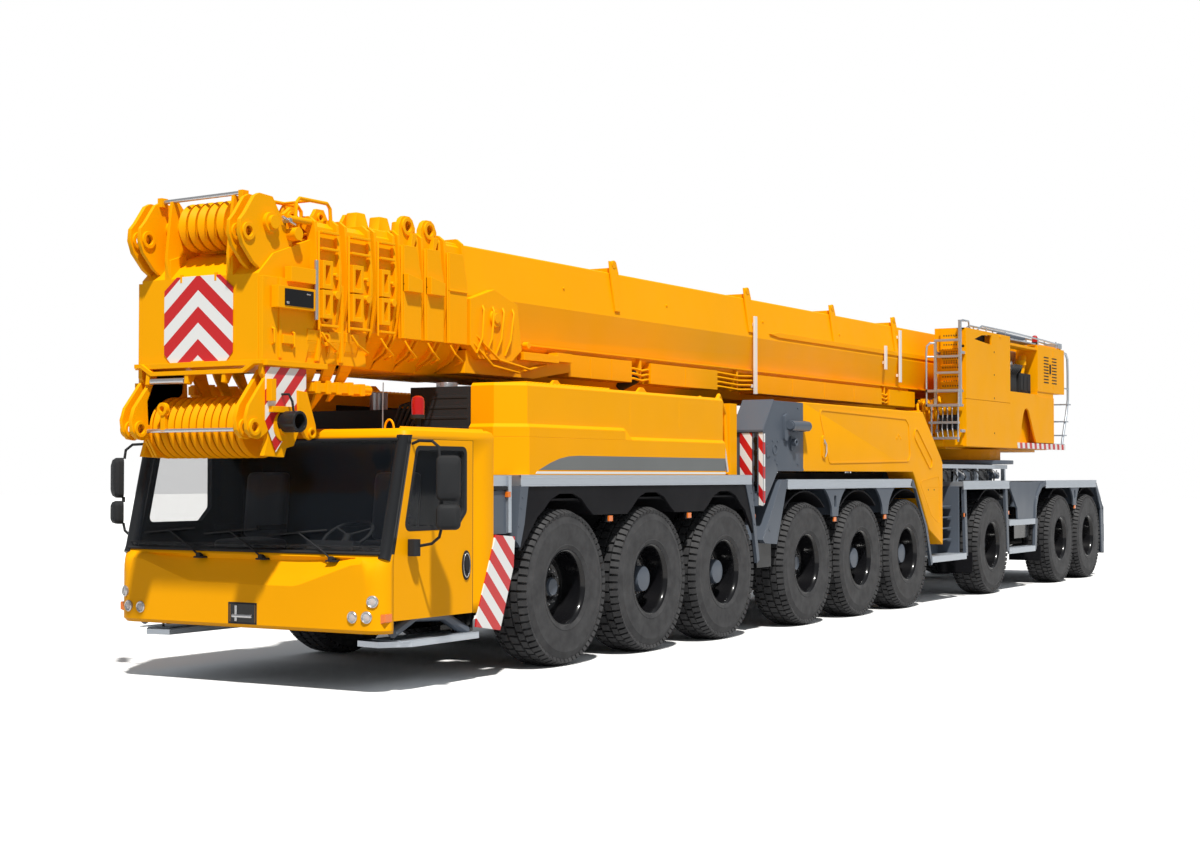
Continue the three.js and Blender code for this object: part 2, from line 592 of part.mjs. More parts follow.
function boomBase() {
  const { front, rear, keel, bottom } = BOOM;
  const tube = lengthwise(front, rear, sectionOutline(0));
  const keelRear = LUFF_LOW.d - 300;
  const keelSide = lengthwise(front, keelRear, [
    [LUFF.channel, bottom + 10], [640, bottom + 10], [645, 3060], [380, keel], [LUFF.channel, keel]]);
  const keelFill = block(-LUFF.channel - 10, LUFF.channel + 10, front, LUFF_HIGH.d - 350, keel, bottom + 10);
  const lug = block(
    LUFF.rod + RUNNING, LUFF.channel + 10, LUFF_HIGH.d - 150, LUFF_HIGH.d + 150, keel + 40, bottom + 10);
  const body = join(tube, bothSides(keelSide), keelFill, bothSides(lug));
  return cut(body, boreFor(1, front - 10, rear - 200));
}

const HEAD = {
  upper: [-3250, 3930], lower: [-3150, 2200], plateInner: BOOM.half - 80, plateOuter: BOOM.half - 20,
};

function boomHeadSection() {
  const front = collarFront(4) + COLLAR.length;
  const tube = lengthwise(-2100, 12400, sectionOutline(4));
  const body = across(-HEAD.plateInner - 5, HEAD.plateInner + 5, [
    [-3400, 2715], [-3400, 3440], [-3200, 3620], [-2500, 3850], [front, 3850], [front, BOOM.keel + 20],
    [-2850, 2715]]);
  const lowerPlate = across(HEAD.plateInner, HEAD.plateOuter, [
    [-3400, 3440], [-3400, 1935], [-3120, 1935], [-2870, 2290], [-2870, 2730], [-2600, 3440]]);
  const sheaveHalf = HEAD.plateInner + 10;
  const lowerSheaves = crossbar(-sheaveHalf, sheaveHalf, HEAD.lower[0], HEAD.lower[1], 250, 24);
  const axleEnd = crossbar(HEAD.plateOuter - 10, HEAD.plateOuter + 200, HEAD.lower[0], 2235, 60, 12);
  const upperPlate = across(300, 345, [
    [-3420, 3500], [-3480, 3900], [-3330, 4120], [-3100, 4120], [-2800, 3740], [-2700, 3600]]);
  const ear = across(560, 620, [
    [-3380, 3400], [-3600, 3620], [-3580, 4000], [-3420, 4110], [-3180, 4080], [-2900, 3700]]);
  const upperSheaves = crossbar(-310, 310, HEAD.upper[0], HEAD.upper[1], 215, 24);
  return join(tube, body, bothSides(lowerPlate), lowerSheaves, bothSides(axleEnd), bothSides(upperPlate),
    bothSides(ear), upperSheaves);
}

// The luffing cylinder lies in the open channel of the keel, between two parallel pins.
function luffingBarrel() {
  const { d, z } = LUFF_LOW;
  const gland = LUFF_HIGH.d + 350;
  const tube = bar([0, d - 60, z], [0, gland, z], LUFF.barrel, 20);
  const eye = crossbar(-LUFF.barrel - 10, LUFF.barrel + 10, d, z, 130, 16);
  const bore = bar([0, d - 300, z], [0, gland - 10, z], LUFF.rod + RUNNING, 20);
  return cut(join(tube, eye), bore);
}

function luffingRod() {
  const { d, z } = LUFF_HIGH;
  return join(
    bar([0, d, z], [0, LUFF_LOW.d - 400, z], LUFF.rod, 20),
    crossbar(-LUFF.rod, LUFF.rod, d, z, 120, 16));
}

piece('boom_base', boomBase(), YELLOW);
piece('boom_section_1', telescopicSection(1, 13900), YELLOW);
piece('boom_section_2', telescopicSection(2, 13400), YELLOW);
piece('boom_section_3', telescopicSection(3, 12900), YELLOW);
piece('boom_head', boomHeadSection(), YELLOW);
piece('luffing_barrel', luffingBarrel(), YELLOW);
piece('luffing_rod', luffingRod(), STEEL);

export default crane;
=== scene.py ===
# %% [markdown]
# # A nine-axle telescopic crane, dressed in Blender
# The crane's solids come in as a fixed frame: every plate, wheel and boom section is already at its real
# size and place. This lesson gives them their looks. Plain solids get folded edges and paint, wheels get
# treads and rims, and the many small things, such as lamps, steps, ropes and hoses, are added around them.

# %% Load the frame
import json
import math

import bmesh
import bpy
from mathutils import Matrix, Vector

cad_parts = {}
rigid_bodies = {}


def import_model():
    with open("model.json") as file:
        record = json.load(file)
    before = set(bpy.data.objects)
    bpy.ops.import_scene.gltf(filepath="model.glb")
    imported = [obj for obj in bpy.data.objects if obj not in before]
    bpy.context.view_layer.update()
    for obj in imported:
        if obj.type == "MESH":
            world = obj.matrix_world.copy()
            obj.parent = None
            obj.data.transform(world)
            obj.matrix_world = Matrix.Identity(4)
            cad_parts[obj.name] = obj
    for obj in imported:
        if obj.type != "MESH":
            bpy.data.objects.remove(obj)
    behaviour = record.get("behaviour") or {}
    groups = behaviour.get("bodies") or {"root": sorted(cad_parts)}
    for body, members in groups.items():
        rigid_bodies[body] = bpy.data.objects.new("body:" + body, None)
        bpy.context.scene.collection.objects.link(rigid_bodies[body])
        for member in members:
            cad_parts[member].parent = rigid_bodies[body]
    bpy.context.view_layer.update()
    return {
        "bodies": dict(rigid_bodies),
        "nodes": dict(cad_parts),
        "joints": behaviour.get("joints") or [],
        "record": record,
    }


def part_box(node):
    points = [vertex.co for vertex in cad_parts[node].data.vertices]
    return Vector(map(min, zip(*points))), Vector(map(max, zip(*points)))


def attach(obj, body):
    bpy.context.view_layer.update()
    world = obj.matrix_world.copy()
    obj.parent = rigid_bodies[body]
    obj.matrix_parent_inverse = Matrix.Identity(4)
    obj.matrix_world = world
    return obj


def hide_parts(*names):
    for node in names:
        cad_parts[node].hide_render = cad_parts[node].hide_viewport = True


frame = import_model()
NODES = frame["nodes"]
BODY_OF = {node: body for body, nodes in frame["record"]["behaviour"]["bodies"].items() for node in nodes}

# %% [markdown]
# ## Where things are
# A vehicle is measured from its first axle. Heights are above the ground, and the left side, which is the
# driver's own left, is +X. The helper `aft` turns a distance behind the first axle into a Y in this scene.

# %% Measure from the first axle
AXLES = (0, 1.65, 3.30, 5.50, 7.15, 8.80, 12.32, 15.85, 17.50)
DRIVEN = (2, 3, 5, 6)


def middle(node):
    low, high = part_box(node)
    return (Vector(low) + Vector(high)) / 2


FIRST_AXLE = middle("wheel_1_left").y
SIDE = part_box("engine_cover")[1][0]


def aft(distance):
    return FIRST_AXLE + distance


print("first axle at Y", round(FIRST_AXLE, 3), "and body side at X", round(SIDE, 3))

# %% [markdown]
# ## The camera first
# A long lens from some distance keeps the machine's lines nearly straight. The camera stands at the height
# of the driver's eyes, ahead of the cab and well out to the left.

# %% Camera
CAMERA_AT = Vector((10.555, aft(-14.592), 1.790))
CAMERA_YAW = math.radians(-30.826)
CAMERA_PITCH = math.radians(1.489)
CAMERA_LENS = 54.47


def add_camera():
    camera = bpy.data.objects.new("camera", bpy.data.cameras.new("camera"))
    camera.data.lens = CAMERA_LENS
    camera.data.sensor_width = 36
    camera.data.clip_end = 500
    camera.location = CAMERA_AT
    camera.rotation_euler = (math.pi / 2 + CAMERA_PITCH, 0, -CAMERA_YAW)
    bpy.context.scene.collection.objects.link(camera)
    bpy.context.scene.camera = camera


add_camera()

# %% [markdown]
# ## Materials
# Every finish is a small node tree. Paint is never quite even: a broad noise shifts its tone, and a fine one
# gives the skin of sprayed paint. Most paints have a clear gloss on top, but the yellow is flatter. The
# colours are written as linear values.

# %% Node helpers
def new_material(name):
    material = bpy.data.materials.new(name)
    material.use_nodes = True
    return material, material.node_tree, material.node_tree.nodes["Principled BSDF"]


def add_node(tree, kind, **inputs):
    node = tree.nodes.new(kind)
    for key, value in inputs.items():
        node.inputs[key.replace("_", " ")].default_value = value
    return node


def object_place(tree):
    return tree.nodes.new("ShaderNodeTexCoord").outputs["Object"]


def noise(tree, scale, detail=3, roughness=0.5):
    node = add_node(tree, "ShaderNodeTexNoise", Scale=scale, Detail=detail, Roughness=roughness)
    tree.links.new(object_place(tree), node.inputs["Vector"])
    return node.outputs["Fac"]


def ramp(tree, value, stops):
    node = tree.nodes.new("ShaderNodeValToRGB")
    elements = node.color_ramp.elements
    while len(elements) < len(stops):
        elements.new(0.5)
    for element, (place, colour) in zip(elements, stops):
        element.position = place
        element.color = (*colour, 1)
    tree.links.new(value, node.inputs["Fac"])
    return node.outputs["Color"]


def bump(tree, shader, height, strength, distance=0.01):
    node = add_node(tree, "ShaderNodeBump", Strength=strength, Distance=distance)
    tree.links.new(height, node.inputs["Height"])
    tree.links.new(node.outputs["Normal"], shader.inputs["Normal"])


def tint(colour, factor):
    return tuple(channel * factor for channel in colour)


# %% Sprayed paint
def paint(name, colour, roughness=0.3, coat=0.5, tone=0.12):
    material, tree, shader = new_material(name)
    stops = [(0.3, tint(colour, 1 - tone)), (0.7, colour)]
    tree.links.new(ramp(tree, noise(tree, 0.7, 4), stops), shader.inputs["Base Color"])
    worn = ramp(tree, noise(tree, 2.3, 5), [(0.35, (roughness,) * 3), (0.75, (roughness + 0.15,) * 3)])
    tree.links.new(worn, shader.inputs["Roughness"])
    shader.inputs["Specular IOR Level"].default_value = 0.08
    shader.inputs["Coat Weight"].default_value = coat
    shader.inputs["Coat Roughness"].default_value = 0.12
    bump(tree, shader, noise(tree, 55, 2), 0.03, 0.004)
    return material


YELLOW = paint("yellow_paint", (0.96, 0.405, 0.0), 0.40, 0.0, 0.05)
GREY = paint("grey_paint", (0.098, 0.116, 0.145), 0.4, 0.25)
# This black also serves as painted shade: the chassis frame, which is grey, takes it for the dark space under
# the decks.
DARK = paint("black_paint_and_painted_shade", (0.018, 0.019, 0.021), 0.35, 0.3)
WHITE = paint("white_paint", (0.82, 0.82, 0.80), 0.35, 0.3, 0.06)
ORANGE_LAMP = paint("orange_lens", (0.9, 0.2, 0.01), 0.15, 0.8, 0.2)
RED_LAMP = paint("red_lens", (0.5, 0.01, 0.01), 0.15, 0.8, 0.2)
RIM_BLACK = paint("rim_black", (0.006, 0.006, 0.007), 0.22, 0.5)
TRIM = paint("black_plastic", (0.03, 0.031, 0.033), 0.6, 0.0)
print("paints made:", len(bpy.data.materials))

# %% [markdown]
# ## Metals, rubber and glass
# Rubber is never black: its sides are dusty and its tone drifts. Aluminium is a dull metal with fine
# drawn lines, and window glass is a dark tint that lets some light through.

# %% Rubber, metals and glass
def rubber(name, colour, dust):
    material, tree, shader = new_material(name)
    tree.links.new(ramp(tree, noise(tree, 6, 6, 0.65), [(0.35, colour), (0.75, dust)]),
                   shader.inputs["Base Color"])
    shader.inputs["Roughness"].default_value = 0.78
    bump(tree, shader, noise(tree, 140, 3), 0.15, 0.003)
    return material


def metal(name, colour, roughness, grain_scale=(2, 2, 160)):
    material, tree, shader = new_material(name)
    stretch = add_node(tree, "ShaderNodeMapping", Scale=grain_scale)
    grain = add_node(tree, "ShaderNodeTexNoise", Scale=3, Detail=4)
    tree.links.new(object_place(tree), stretch.inputs["Vector"])
    tree.links.new(stretch.outputs["Vector"], grain.inputs["Vector"])
    stops = [(0.3, tint(colour, 0.85)), (0.7, colour)]
    tree.links.new(ramp(tree, grain.outputs["Fac"], stops), shader.inputs["Base Color"])
    shader.inputs["Metallic"].default_value = 0.75
    shader.inputs["Roughness"].default_value = roughness
    bump(tree, shader, grain.outputs["Fac"], 0.05, 0.002)
    return material


def glass(name, colour, alpha):
    material, tree, shader = new_material(name)
    smear = ramp(tree, noise(tree, 3, 5), [(0.4, (0.02,) * 3), (0.8, (0.10,) * 3)])
    tree.links.new(smear, shader.inputs["Roughness"])
    shader.inputs["Base Color"].default_value = (*colour, 1)
    shader.inputs["Alpha"].default_value = alpha
    shader.inputs["Coat Weight"].default_value = 0.5
    return material


TYRE = rubber("tyre_rubber", (0.020, 0.020, 0.022), (0.056, 0.056, 0.058))
HOSE = rubber("hose_rubber", (0.015, 0.015, 0.016), (0.04, 0.04, 0.04))
ALUMINIUM = metal("drawn_aluminium", (0.50, 0.545, 0.60), 0.42)
STEEL = metal("turned_steel", (0.50, 0.50, 0.51), 0.28, (120, 2, 2))
ROPE = metal("wire_rope", (0.20, 0.19, 0.18), 0.55, (40, 200, 40))
WINDOW = glass("window_glass", (0.010, 0.015, 0.024), 0.13)
LAMP_GLASS = glass("lamp_glass", (0.75, 0.77, 0.80), 0.45)
MIRROR_GLASS = metal("mirror_silver", (0.75, 0.78, 0.80), 0.05, (1, 1, 1))

# %% [markdown]
# ## Warning stripes
# The red and white bands slope across each plate. Their place comes from the object's own coordinates:
# a height plus a share of the width, cut into equal steps. On the boom's nose the width is folded at the
# middle, so the bands meet in a chevron.

# %% Striped material
def stripes(name, pitch, across=(0.0, 0.0, 0.0), fold=False, shift=0.0):
    """Bands of equal width. `across` says how far the bands climb along X, Y and Z."""
    material, tree, shader = new_material(name)
    place = tree.nodes.new("ShaderNodeSeparateXYZ")
    tree.links.new(object_place(tree), place.inputs["Vector"])
    total = None
    for axis, climb in zip("XYZ", across):
        if climb == 0:
            continue
        value = place.outputs[axis]
        if fold and axis == "X":
            folded = tree.nodes.new("ShaderNodeMath")
            folded.operation = "ABSOLUTE"
            tree.links.new(value, folded.inputs[0])
            value = folded.outputs[0]
        term = tree.nodes.new("ShaderNodeMath")
        term.operation = "MULTIPLY"
        term.inputs[1].default_value = climb
        tree.links.new(value, term.inputs[0])
        if total is not None:
            both = tree.nodes.new("ShaderNodeMath")
            tree.links.new(total, both.inputs[0])
            tree.links.new(term.outputs[0], both.inputs[1])
            term = both
        total = term.outputs[0]
    moved = tree.nodes.new("ShaderNodeMath")
    moved.inputs[1].default_value = -shift
    tree.links.new(total, moved.inputs[0])
    steps = tree.nodes.new("ShaderNodeMath")
    steps.operation = "PINGPONG"
    steps.inputs[1].default_value = pitch
    tree.links.new(moved.outputs[0], steps.inputs[0])
    edge = tree.nodes.new("ShaderNodeMath")
    edge.operation = "GREATER_THAN"
    edge.inputs[1].default_value = pitch / 2
    tree.links.new(steps.outputs[0], edge.inputs[0])
    colour = ramp(tree, edge.outputs[0], [(0.0, (0.58, 0.012, 0.014)), (1.0, (0.80, 0.80, 0.78))])
    tree.links.new(colour, shader.inputs["Base Color"])
    shader.inputs["Roughness"].default_value = 0.32
    bump(tree, shader, noise(tree, 90, 2), 0.03, 0.002)
    return material


CHEVRON = stripes("stripes_chevron", 0.135, (0.83, 0.0, 1.0), fold=True, shift=0.16)
FRONT_STRIPES = stripes("stripes_front", 0.14, (1.4, 0.0, 1.0), fold=True)
SIDE_STRIPES = stripes("stripes_side", 0.14, (0.0, 1.0, 1.0))
NOSE_STRIPES = stripes("stripes_nose", 0.125, (0.0, -1.05, 1.0))
print("materials made:", len(bpy.data.materials))

# %% [markdown]
# ## A small workshop
# Most of a crane is folded plate, bar and tube. `Work` gathers such closed shapes in one mesh: a box, a plate
# cut to an outline, a round bar, a bent tube or a turned profile. Its places are X, distance behind the first
# axle, and height. `done` gives the mesh fine bevelled edges, a material and the body that it rides on.

# %% Rounded outlines
def rounded(corners, radius, steps=5):
    """A closed outline with its corners rounded by arcs of one radius."""
    result = []
    for i, here in enumerate(corners):
        here = Vector(here)
        to_last = (Vector(corners[i - 1]) - here).normalized()
        to_next = (Vector(corners[(i + 1) % len(corners)]) - here).normalized()
        half = to_last.angle(to_next) / 2
        reach = radius / math.tan(half)
        centre = here + (to_last + to_next).normalized() * radius / math.sin(half)
        start, end = here + to_last * reach - centre, here + to_next * reach - centre
        sweep = start.angle_signed(end)
        for k in range(steps + 1):
            turn = -sweep * k / steps
            result.append((centre.x + start.x * math.cos(turn) - start.y * math.sin(turn),
                           centre.y + start.x * math.sin(turn) + start.y * math.cos(turn)))
    return result


def circle(d, z, radius, steps=20):
    return [(d + radius * math.cos(2 * math.pi * i / steps), z + radius * math.sin(2 * math.pi * i / steps))
            for i in range(steps)]


# %% Work: closed shapes gathered in one mesh
class Work:
    def __init__(self, *materials):
        self.mesh = bmesh.new()
        self.materials = list(materials)
        self.slot = 0

    def use(self, material):
        """Shapes made from here on take this material."""
        if material not in self.materials:
            self.materials.append(material)
        self.slot = self.materials.index(material)
        return self

    def take(self, geometry, matrix=Matrix.Identity(4)):
        bmesh.ops.transform(self.mesh, matrix=matrix, verts=geometry)
        for face in {face for vert in geometry for face in vert.link_faces}:
            face.material_index = self.slot
        return self

    def lift(self, data, place=(0, 0, 0)):
        """Adds a finished mesh, moved to a place in the scene's own metres."""
        before = len(self.mesh.verts)
        self.mesh.from_mesh(data)
        self.mesh.verts.ensure_lookup_table()
        return self.take(self.mesh.verts[before:], Matrix.Translation(place))

    def box(self, x0, x1, d0, d1, z0, z1):
        size = Matrix.Diagonal((abs(x1 - x0), abs(d1 - d0), abs(z1 - z0), 1))
        centre = Matrix.Translation(((x0 + x1) / 2, aft((d0 + d1) / 2), (z0 + z1) / 2))
        made = bmesh.ops.create_cube(self.mesh, size=1)["verts"]
        return self.take(made, centre @ size)

    def prism(self, outline, depth, matrix):
        """An outline in its own XY plane, raised by depth along its Z, then placed."""
        low = [self.mesh.verts.new((a, b, 0)) for a, b in outline]
        high = [self.mesh.verts.new((a, b, depth)) for a, b in outline]
        area = sum(a * d - b * c for (a, b), (c, d) in zip(outline, outline[1:] + outline[:1]))
        count = len(outline)
        faces = [self.mesh.faces.new(low[::-1]), self.mesh.faces.new(high)]
        for i in range(count):
            j = (i + 1) % count
            faces.append(self.mesh.faces.new((low[i], low[j], high[j], high[i])))
        if area * depth < 0:
            bmesh.ops.reverse_faces(self.mesh, faces=faces)
        return self.take(low + high, matrix)

    def across(self, x0, x1, outline):
        """A side outline of (distance, height), carried across."""
        turn = Matrix(((0, 0, 1, x0), (1, 0, 0, 0), (0, 1, 0, 0), (0, 0, 0, 1)))
        return self.prism([(aft(d), z) for d, z in outline], x1 - x0, turn)

    def hollow(self, outer, inner, depth, matrix):
        """The region between two outlines in their own XY plane, raised by depth and placed."""
        flat = bmesh.new()
        for loop in (outer, inner):
            verts = [flat.verts.new((a, b, 0)) for a, b in loop]
            for i, vert in enumerate(verts):
                flat.edges.new((verts[i - 1], vert))
        bmesh.ops.triangle_fill(flat, edges=flat.edges, use_beauty=True, normal=(0, 0, 1))
        grown = bmesh.ops.extrude_face_region(flat, geom=list(flat.faces))["geom"]
        raised = [item for item in grown if isinstance(item, bmesh.types.BMVert)]
        bmesh.ops.translate(flat, verts=raised, vec=(0, 0, depth))
        bmesh.ops.transform(flat, matrix=matrix, verts=flat.verts)
        bmesh.ops.recalc_face_normals(flat, faces=flat.faces)
        data = bpy.data.meshes.new("hollow")
        flat.to_mesh(data)
        flat.free()
        return self.lift(data)

    def hollow_across(self, x0, x1, outer, inner):
        turn = Matrix(((0, 0, 1, x0), (1, 0, 0, 0), (0, 1, 0, 0), (0, 0, 0, 1)))
        loops = [[(aft(d), z) for d, z in loop] for loop in (outer, inner)]
        return self.hollow(*loops, x1 - x0, turn)

    def hollow_along(self, d0, d1, outer, inner):
        turn = Matrix(((1, 0, 0, 0), (0, 0, -1, aft(d1)), (0, 1, 0, 0), (0, 0, 0, 1)))
        return self.hollow(outer, inner, d1 - d0, turn)

    def along(self, d0, d1, outline):
        """A cross-section of (x, height), carried rearwards."""
        turn = Matrix(((1, 0, 0, 0), (0, 0, -1, aft(d1)), (0, 1, 0, 0), (0, 0, 0, 1)))
        return self.prism(list(outline), d1 - d0, turn)

    def upward(self, z0, z1, outline):
        """A plan of (x, distance), carried up."""
        return self.prism([(x, aft(d)) for x, d in outline], z1 - z0, Matrix.Translation((0, 0, z0)))

    def bar(self, start, end, radius, sides=16, radius_end=None):
        a = Vector((start[0], aft(start[1]), start[2]))
        b = Vector((end[0], aft(end[1]), end[2]))
        turn = (b - a).to_track_quat("Z", "Y").to_matrix().to_4x4()
        made = bmesh.ops.create_cone(self.mesh, cap_ends=True, segments=sides, radius1=radius,
                                     radius2=radius if radius_end is None else radius_end,
                                     depth=(b - a).length)["verts"]
        return self.take(made, Matrix.Translation((a + b) / 2) @ turn)

    def loft(self, first, second):
        """A closed solid between two rings of (x, distance, z) points."""
        rings = [[self.mesh.verts.new((x, aft(d), z)) for x, d, z in ring] for ring in (first, second)]
        made = [self.mesh.faces.new(rings[0]), self.mesh.faces.new(rings[1])]
        for i in range(len(first)):
            made.append(self.mesh.faces.new((rings[0][i - 1], rings[0][i], rings[1][i], rings[1][i - 1])))
        bmesh.ops.recalc_face_normals(self.mesh, faces=made)
        return self.take(rings[0] + rings[1])

    def turned(self, profile, centre, axis=(1, 0, 0), steps=32):
        """A closed profile of (radius, place along the axis), turned about the axis through a centre."""
        loop = [self.mesh.verts.new((radius, 0, place)) for radius, place in profile]
        edges = [self.mesh.edges.new((loop[i - 1], loop[i])) for i in range(len(loop))]
        before = set(self.mesh.verts) - set(loop)
        bmesh.ops.spin(self.mesh, geom=loop + edges, cent=(0, 0, 0), axis=(0, 0, 1),
                       angle=2 * math.pi, steps=steps, use_merge=True)
        made = [v for v in self.mesh.verts if v not in before]
        bmesh.ops.remove_doubles(self.mesh, verts=made, dist=1e-5)
        made = [v for v in self.mesh.verts if v not in before]
        faces = list({face for vert in made for face in vert.link_faces})
        bmesh.ops.recalc_face_normals(self.mesh, faces=faces)
        turn = Vector(axis).to_track_quat("Z", "Y").to_matrix().to_4x4()
        return self.take(made, Matrix.Translation((centre[0], aft(centre[1]), centre[2])) @ turn)

    def tube(self, points, radius, sides=8, closed=False):
        """A bent tube: a section carried along points, turned with as little twist as possible."""
        path = [Vector((x, aft(d), z)) for x, d, z in points]
        count = len(path)
        rings, side = [], None
        for i, here in enumerate(path):
            last = path[i - 1] if i or closed else here
            following = path[(i + 1) % count] if i < count - 1 or closed else here
            forward = (following - last).normalized()
            if side is None:
                side = forward.orthogonal().normalized()
            side = (side - forward * side.dot(forward)).normalized()
            up = forward.cross(side)
            turns = [2 * math.pi * k / sides for k in range(sides)]
            rings.append([self.mesh.verts.new(here + radius * (side * math.cos(t) + up * math.sin(t)))
                          for t in turns])
        pairs = list(zip(rings, rings[1:])) + ([(rings[-1], rings[0])] if closed else [])
        for a, b in pairs:
            for k in range(sides):
                j = (k + 1) % sides
                self.mesh.faces.new((a[k], a[j], b[j], b[k]))
        if not closed:
            self.mesh.faces.new(rings[0][::-1])
            self.mesh.faces.new(rings[-1])
        return self.take([vert for ring in rings for vert in ring])

    def mirror(self):
        """Adds the same shapes on the other side of the centre line."""
        made = bmesh.ops.duplicate(self.mesh, geom=list(self.mesh.verts) + list(self.mesh.edges)
                                   + list(self.mesh.faces))["geom"]
        verts = [item for item in made if isinstance(item, bmesh.types.BMVert)]
        faces = [item for item in made if isinstance(item, bmesh.types.BMFace)]
        bmesh.ops.scale(self.mesh, vec=(-1, 1, 1), verts=verts)
        bmesh.ops.reverse_faces(self.mesh, faces=faces)
        return self

    def flip_side(self):
        bmesh.ops.scale(self.mesh, vec=(-1, 1, 1), verts=list(self.mesh.verts))
        bmesh.ops.reverse_faces(self.mesh, faces=list(self.mesh.faces))
        return self

    def done(self, name, body, bevel=0.004, replaces=(), smooth=35):
        data = bpy.data.meshes.new(name)
        self.mesh.to_mesh(data)
        self.mesh.free()
        piece = finish_piece(name, data, body, self.materials, bevel, smooth)
        for node in replaces:
            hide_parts(node)
        return piece


def finish_piece(name, data, body, materials, bevel, smooth=35):
    piece = bpy.data.objects.new(name, data)
    bpy.context.scene.collection.objects.link(piece)
    for material in materials:
        data.materials.append(material)
    if bevel:
        edges = piece.modifiers.new("folded edges", "BEVEL")
        edges.width = bevel
        edges.segments = 2
        edges.limit_method = "ANGLE"
        edges.angle_limit = math.radians(30)
        edges.harden_normals = True
    data.polygons.foreach_set("use_smooth", [True] * len(data.polygons))
    data.set_sharp_from_angle(angle=math.radians(smooth))
    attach(piece, body)
    return piece


# %% [markdown]
# ## Folded edges on the frame's own solids
# The frame's solids have knife edges, and no pressed or welded part has those. A merged copy of each solid
# gets a small bevel, which catches a line of light, and stands in for the solid.

# %% Bevelled copies of solids
def folded_copy(node, material, bevel=0.012):
    source = NODES[node].data
    cleaned = bmesh.new()
    cleaned.from_mesh(source)
    bmesh.ops.remove_doubles(cleaned, verts=cleaned.verts, dist=2e-4)
    name = node + "_shell"
    data = bpy.data.meshes.new(name)
    cleaned.to_mesh(data)
    cleaned.free()
    piece = finish_piece(name, data, BODY_OF[node], [material], bevel)
    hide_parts(node)
    return piece


FOLDED = {
    "engine_block": (DARK, 0.02),
    "outrigger_beam_left": (YELLOW, 0.012), "outrigger_beam_right": (YELLOW, 0.012),
    "outrigger_head_left": (GREY, 0.012), "outrigger_head_right": (GREY, 0.012),
    "turntable": (YELLOW, 0.012), "housing_right": (YELLOW, 0.02),
    "crane_cab": (YELLOW, 0.012),
    "boom_base": (YELLOW, 0.02), "boom_section_1": (YELLOW, 0.012), "boom_section_2": (YELLOW, 0.012),
    "boom_section_3": (YELLOW, 0.012),
    "axles_front": (DARK, 0.012), "axles_rear": (DARK, 0.012),
}
PLAIN = {
    "luffing_barrel": YELLOW, "luffing_rod": STEEL,
}
for node, (material, bevel) in FOLDED.items():
    folded_copy(node, material, bevel)
for node, material in PLAIN.items():
    NODES[node].data.materials.clear()
    NODES[node].data.materials.append(material)
for node in NODES:
    if node.startswith("knuckle"):
        NODES[node].data.materials.clear()
        NODES[node].data.materials.append(DARK)
print("solids with folded edges:", len(FOLDED))

# %% [markdown]
# ## Wheels
# Eighteen equal wheels carry the machine. A tyre is a turned profile, so its section is drawn once and spun
# about the axle. The tread repeats, so Geometry Nodes lay it: one block, copied at equal angles round the
# tyre. Each row of blocks is the same tree with other inputs.

# %% A Geometry Nodes tree for one row of tread
def tread_tree():
    tree = bpy.data.node_groups.new("tread_row", "GeometryNodeTree")
    face = tree.interface
    face.new_socket("Geometry", in_out="OUTPUT", socket_type="NodeSocketGeometry")
    face.new_socket("Geometry", in_out="INPUT", socket_type="NodeSocketGeometry")
    ids = {"Count": face.new_socket("Count", in_out="INPUT", socket_type="NodeSocketInt").identifier}
    for label in ("Radius", "Place", "Stagger", "Tilt", "Width", "Length", "Height"):
        ids[label] = face.new_socket(label, in_out="INPUT", socket_type="NodeSocketFloat").identifier
    ids["Material"] = face.new_socket("Material", in_out="INPUT", socket_type="NodeSocketMaterial").identifier
    made, link = tree.nodes.new, tree.links.new
    given, result = made("NodeGroupInput"), made("NodeGroupOutput")

    def math_node(operation, first, second=None):
        node = made("ShaderNodeMath")
        node.operation = operation
        for socket, value in zip(node.inputs, (first, second)):
            if isinstance(value, (int, float)):
                socket.default_value = value
            elif value is not None:
                link(value, socket)
        return node.outputs[0]

    def vector(x=None, y=None, z=None):
        node = made("ShaderNodeCombineXYZ")
        for socket, value in zip(node.inputs, (x, y, z)):
            if value is not None:
                link(value, socket)
        return node.outputs[0]

    step = math_node("ADD", made("GeometryNodeInputIndex").outputs[0], given.outputs["Stagger"])
    angle = math_node("DIVIDE", math_node("MULTIPLY", step, 2 * math.pi), given.outputs["Count"])
    down = math_node("MULTIPLY", math_node("SINE", angle), math_node("MULTIPLY", given.outputs["Radius"], -1))
    up = math_node("MULTIPLY", math_node("COSINE", angle), given.outputs["Radius"])
    points = made("GeometryNodePoints")
    link(given.outputs["Count"], points.inputs["Count"])
    link(vector(given.outputs["Place"], down, up), points.inputs["Position"])
    block = made("GeometryNodeMeshCube")
    link(vector(given.outputs["Width"], given.outputs["Length"], given.outputs["Height"]),
         block.inputs["Size"])
    tilted = made("GeometryNodeTransform")
    link(block.outputs["Mesh"], tilted.inputs["Geometry"])
    link(vector(y=given.outputs["Tilt"]), tilted.inputs["Rotation"])
    laid = made("GeometryNodeInstanceOnPoints")
    link(points.outputs[0], laid.inputs["Points"])
    link(tilted.outputs["Geometry"], laid.inputs["Instance"])
    link(vector(x=angle), laid.inputs["Rotation"])
    real, finish = made("GeometryNodeRealizeInstances"), made("GeometryNodeSetMaterial")
    link(laid.outputs["Instances"], real.inputs["Geometry"])
    link(real.outputs["Geometry"], finish.inputs["Geometry"])
    link(given.outputs["Material"], finish.inputs["Material"])
    link(finish.outputs["Geometry"], result.inputs["Geometry"])
    return tree, ids


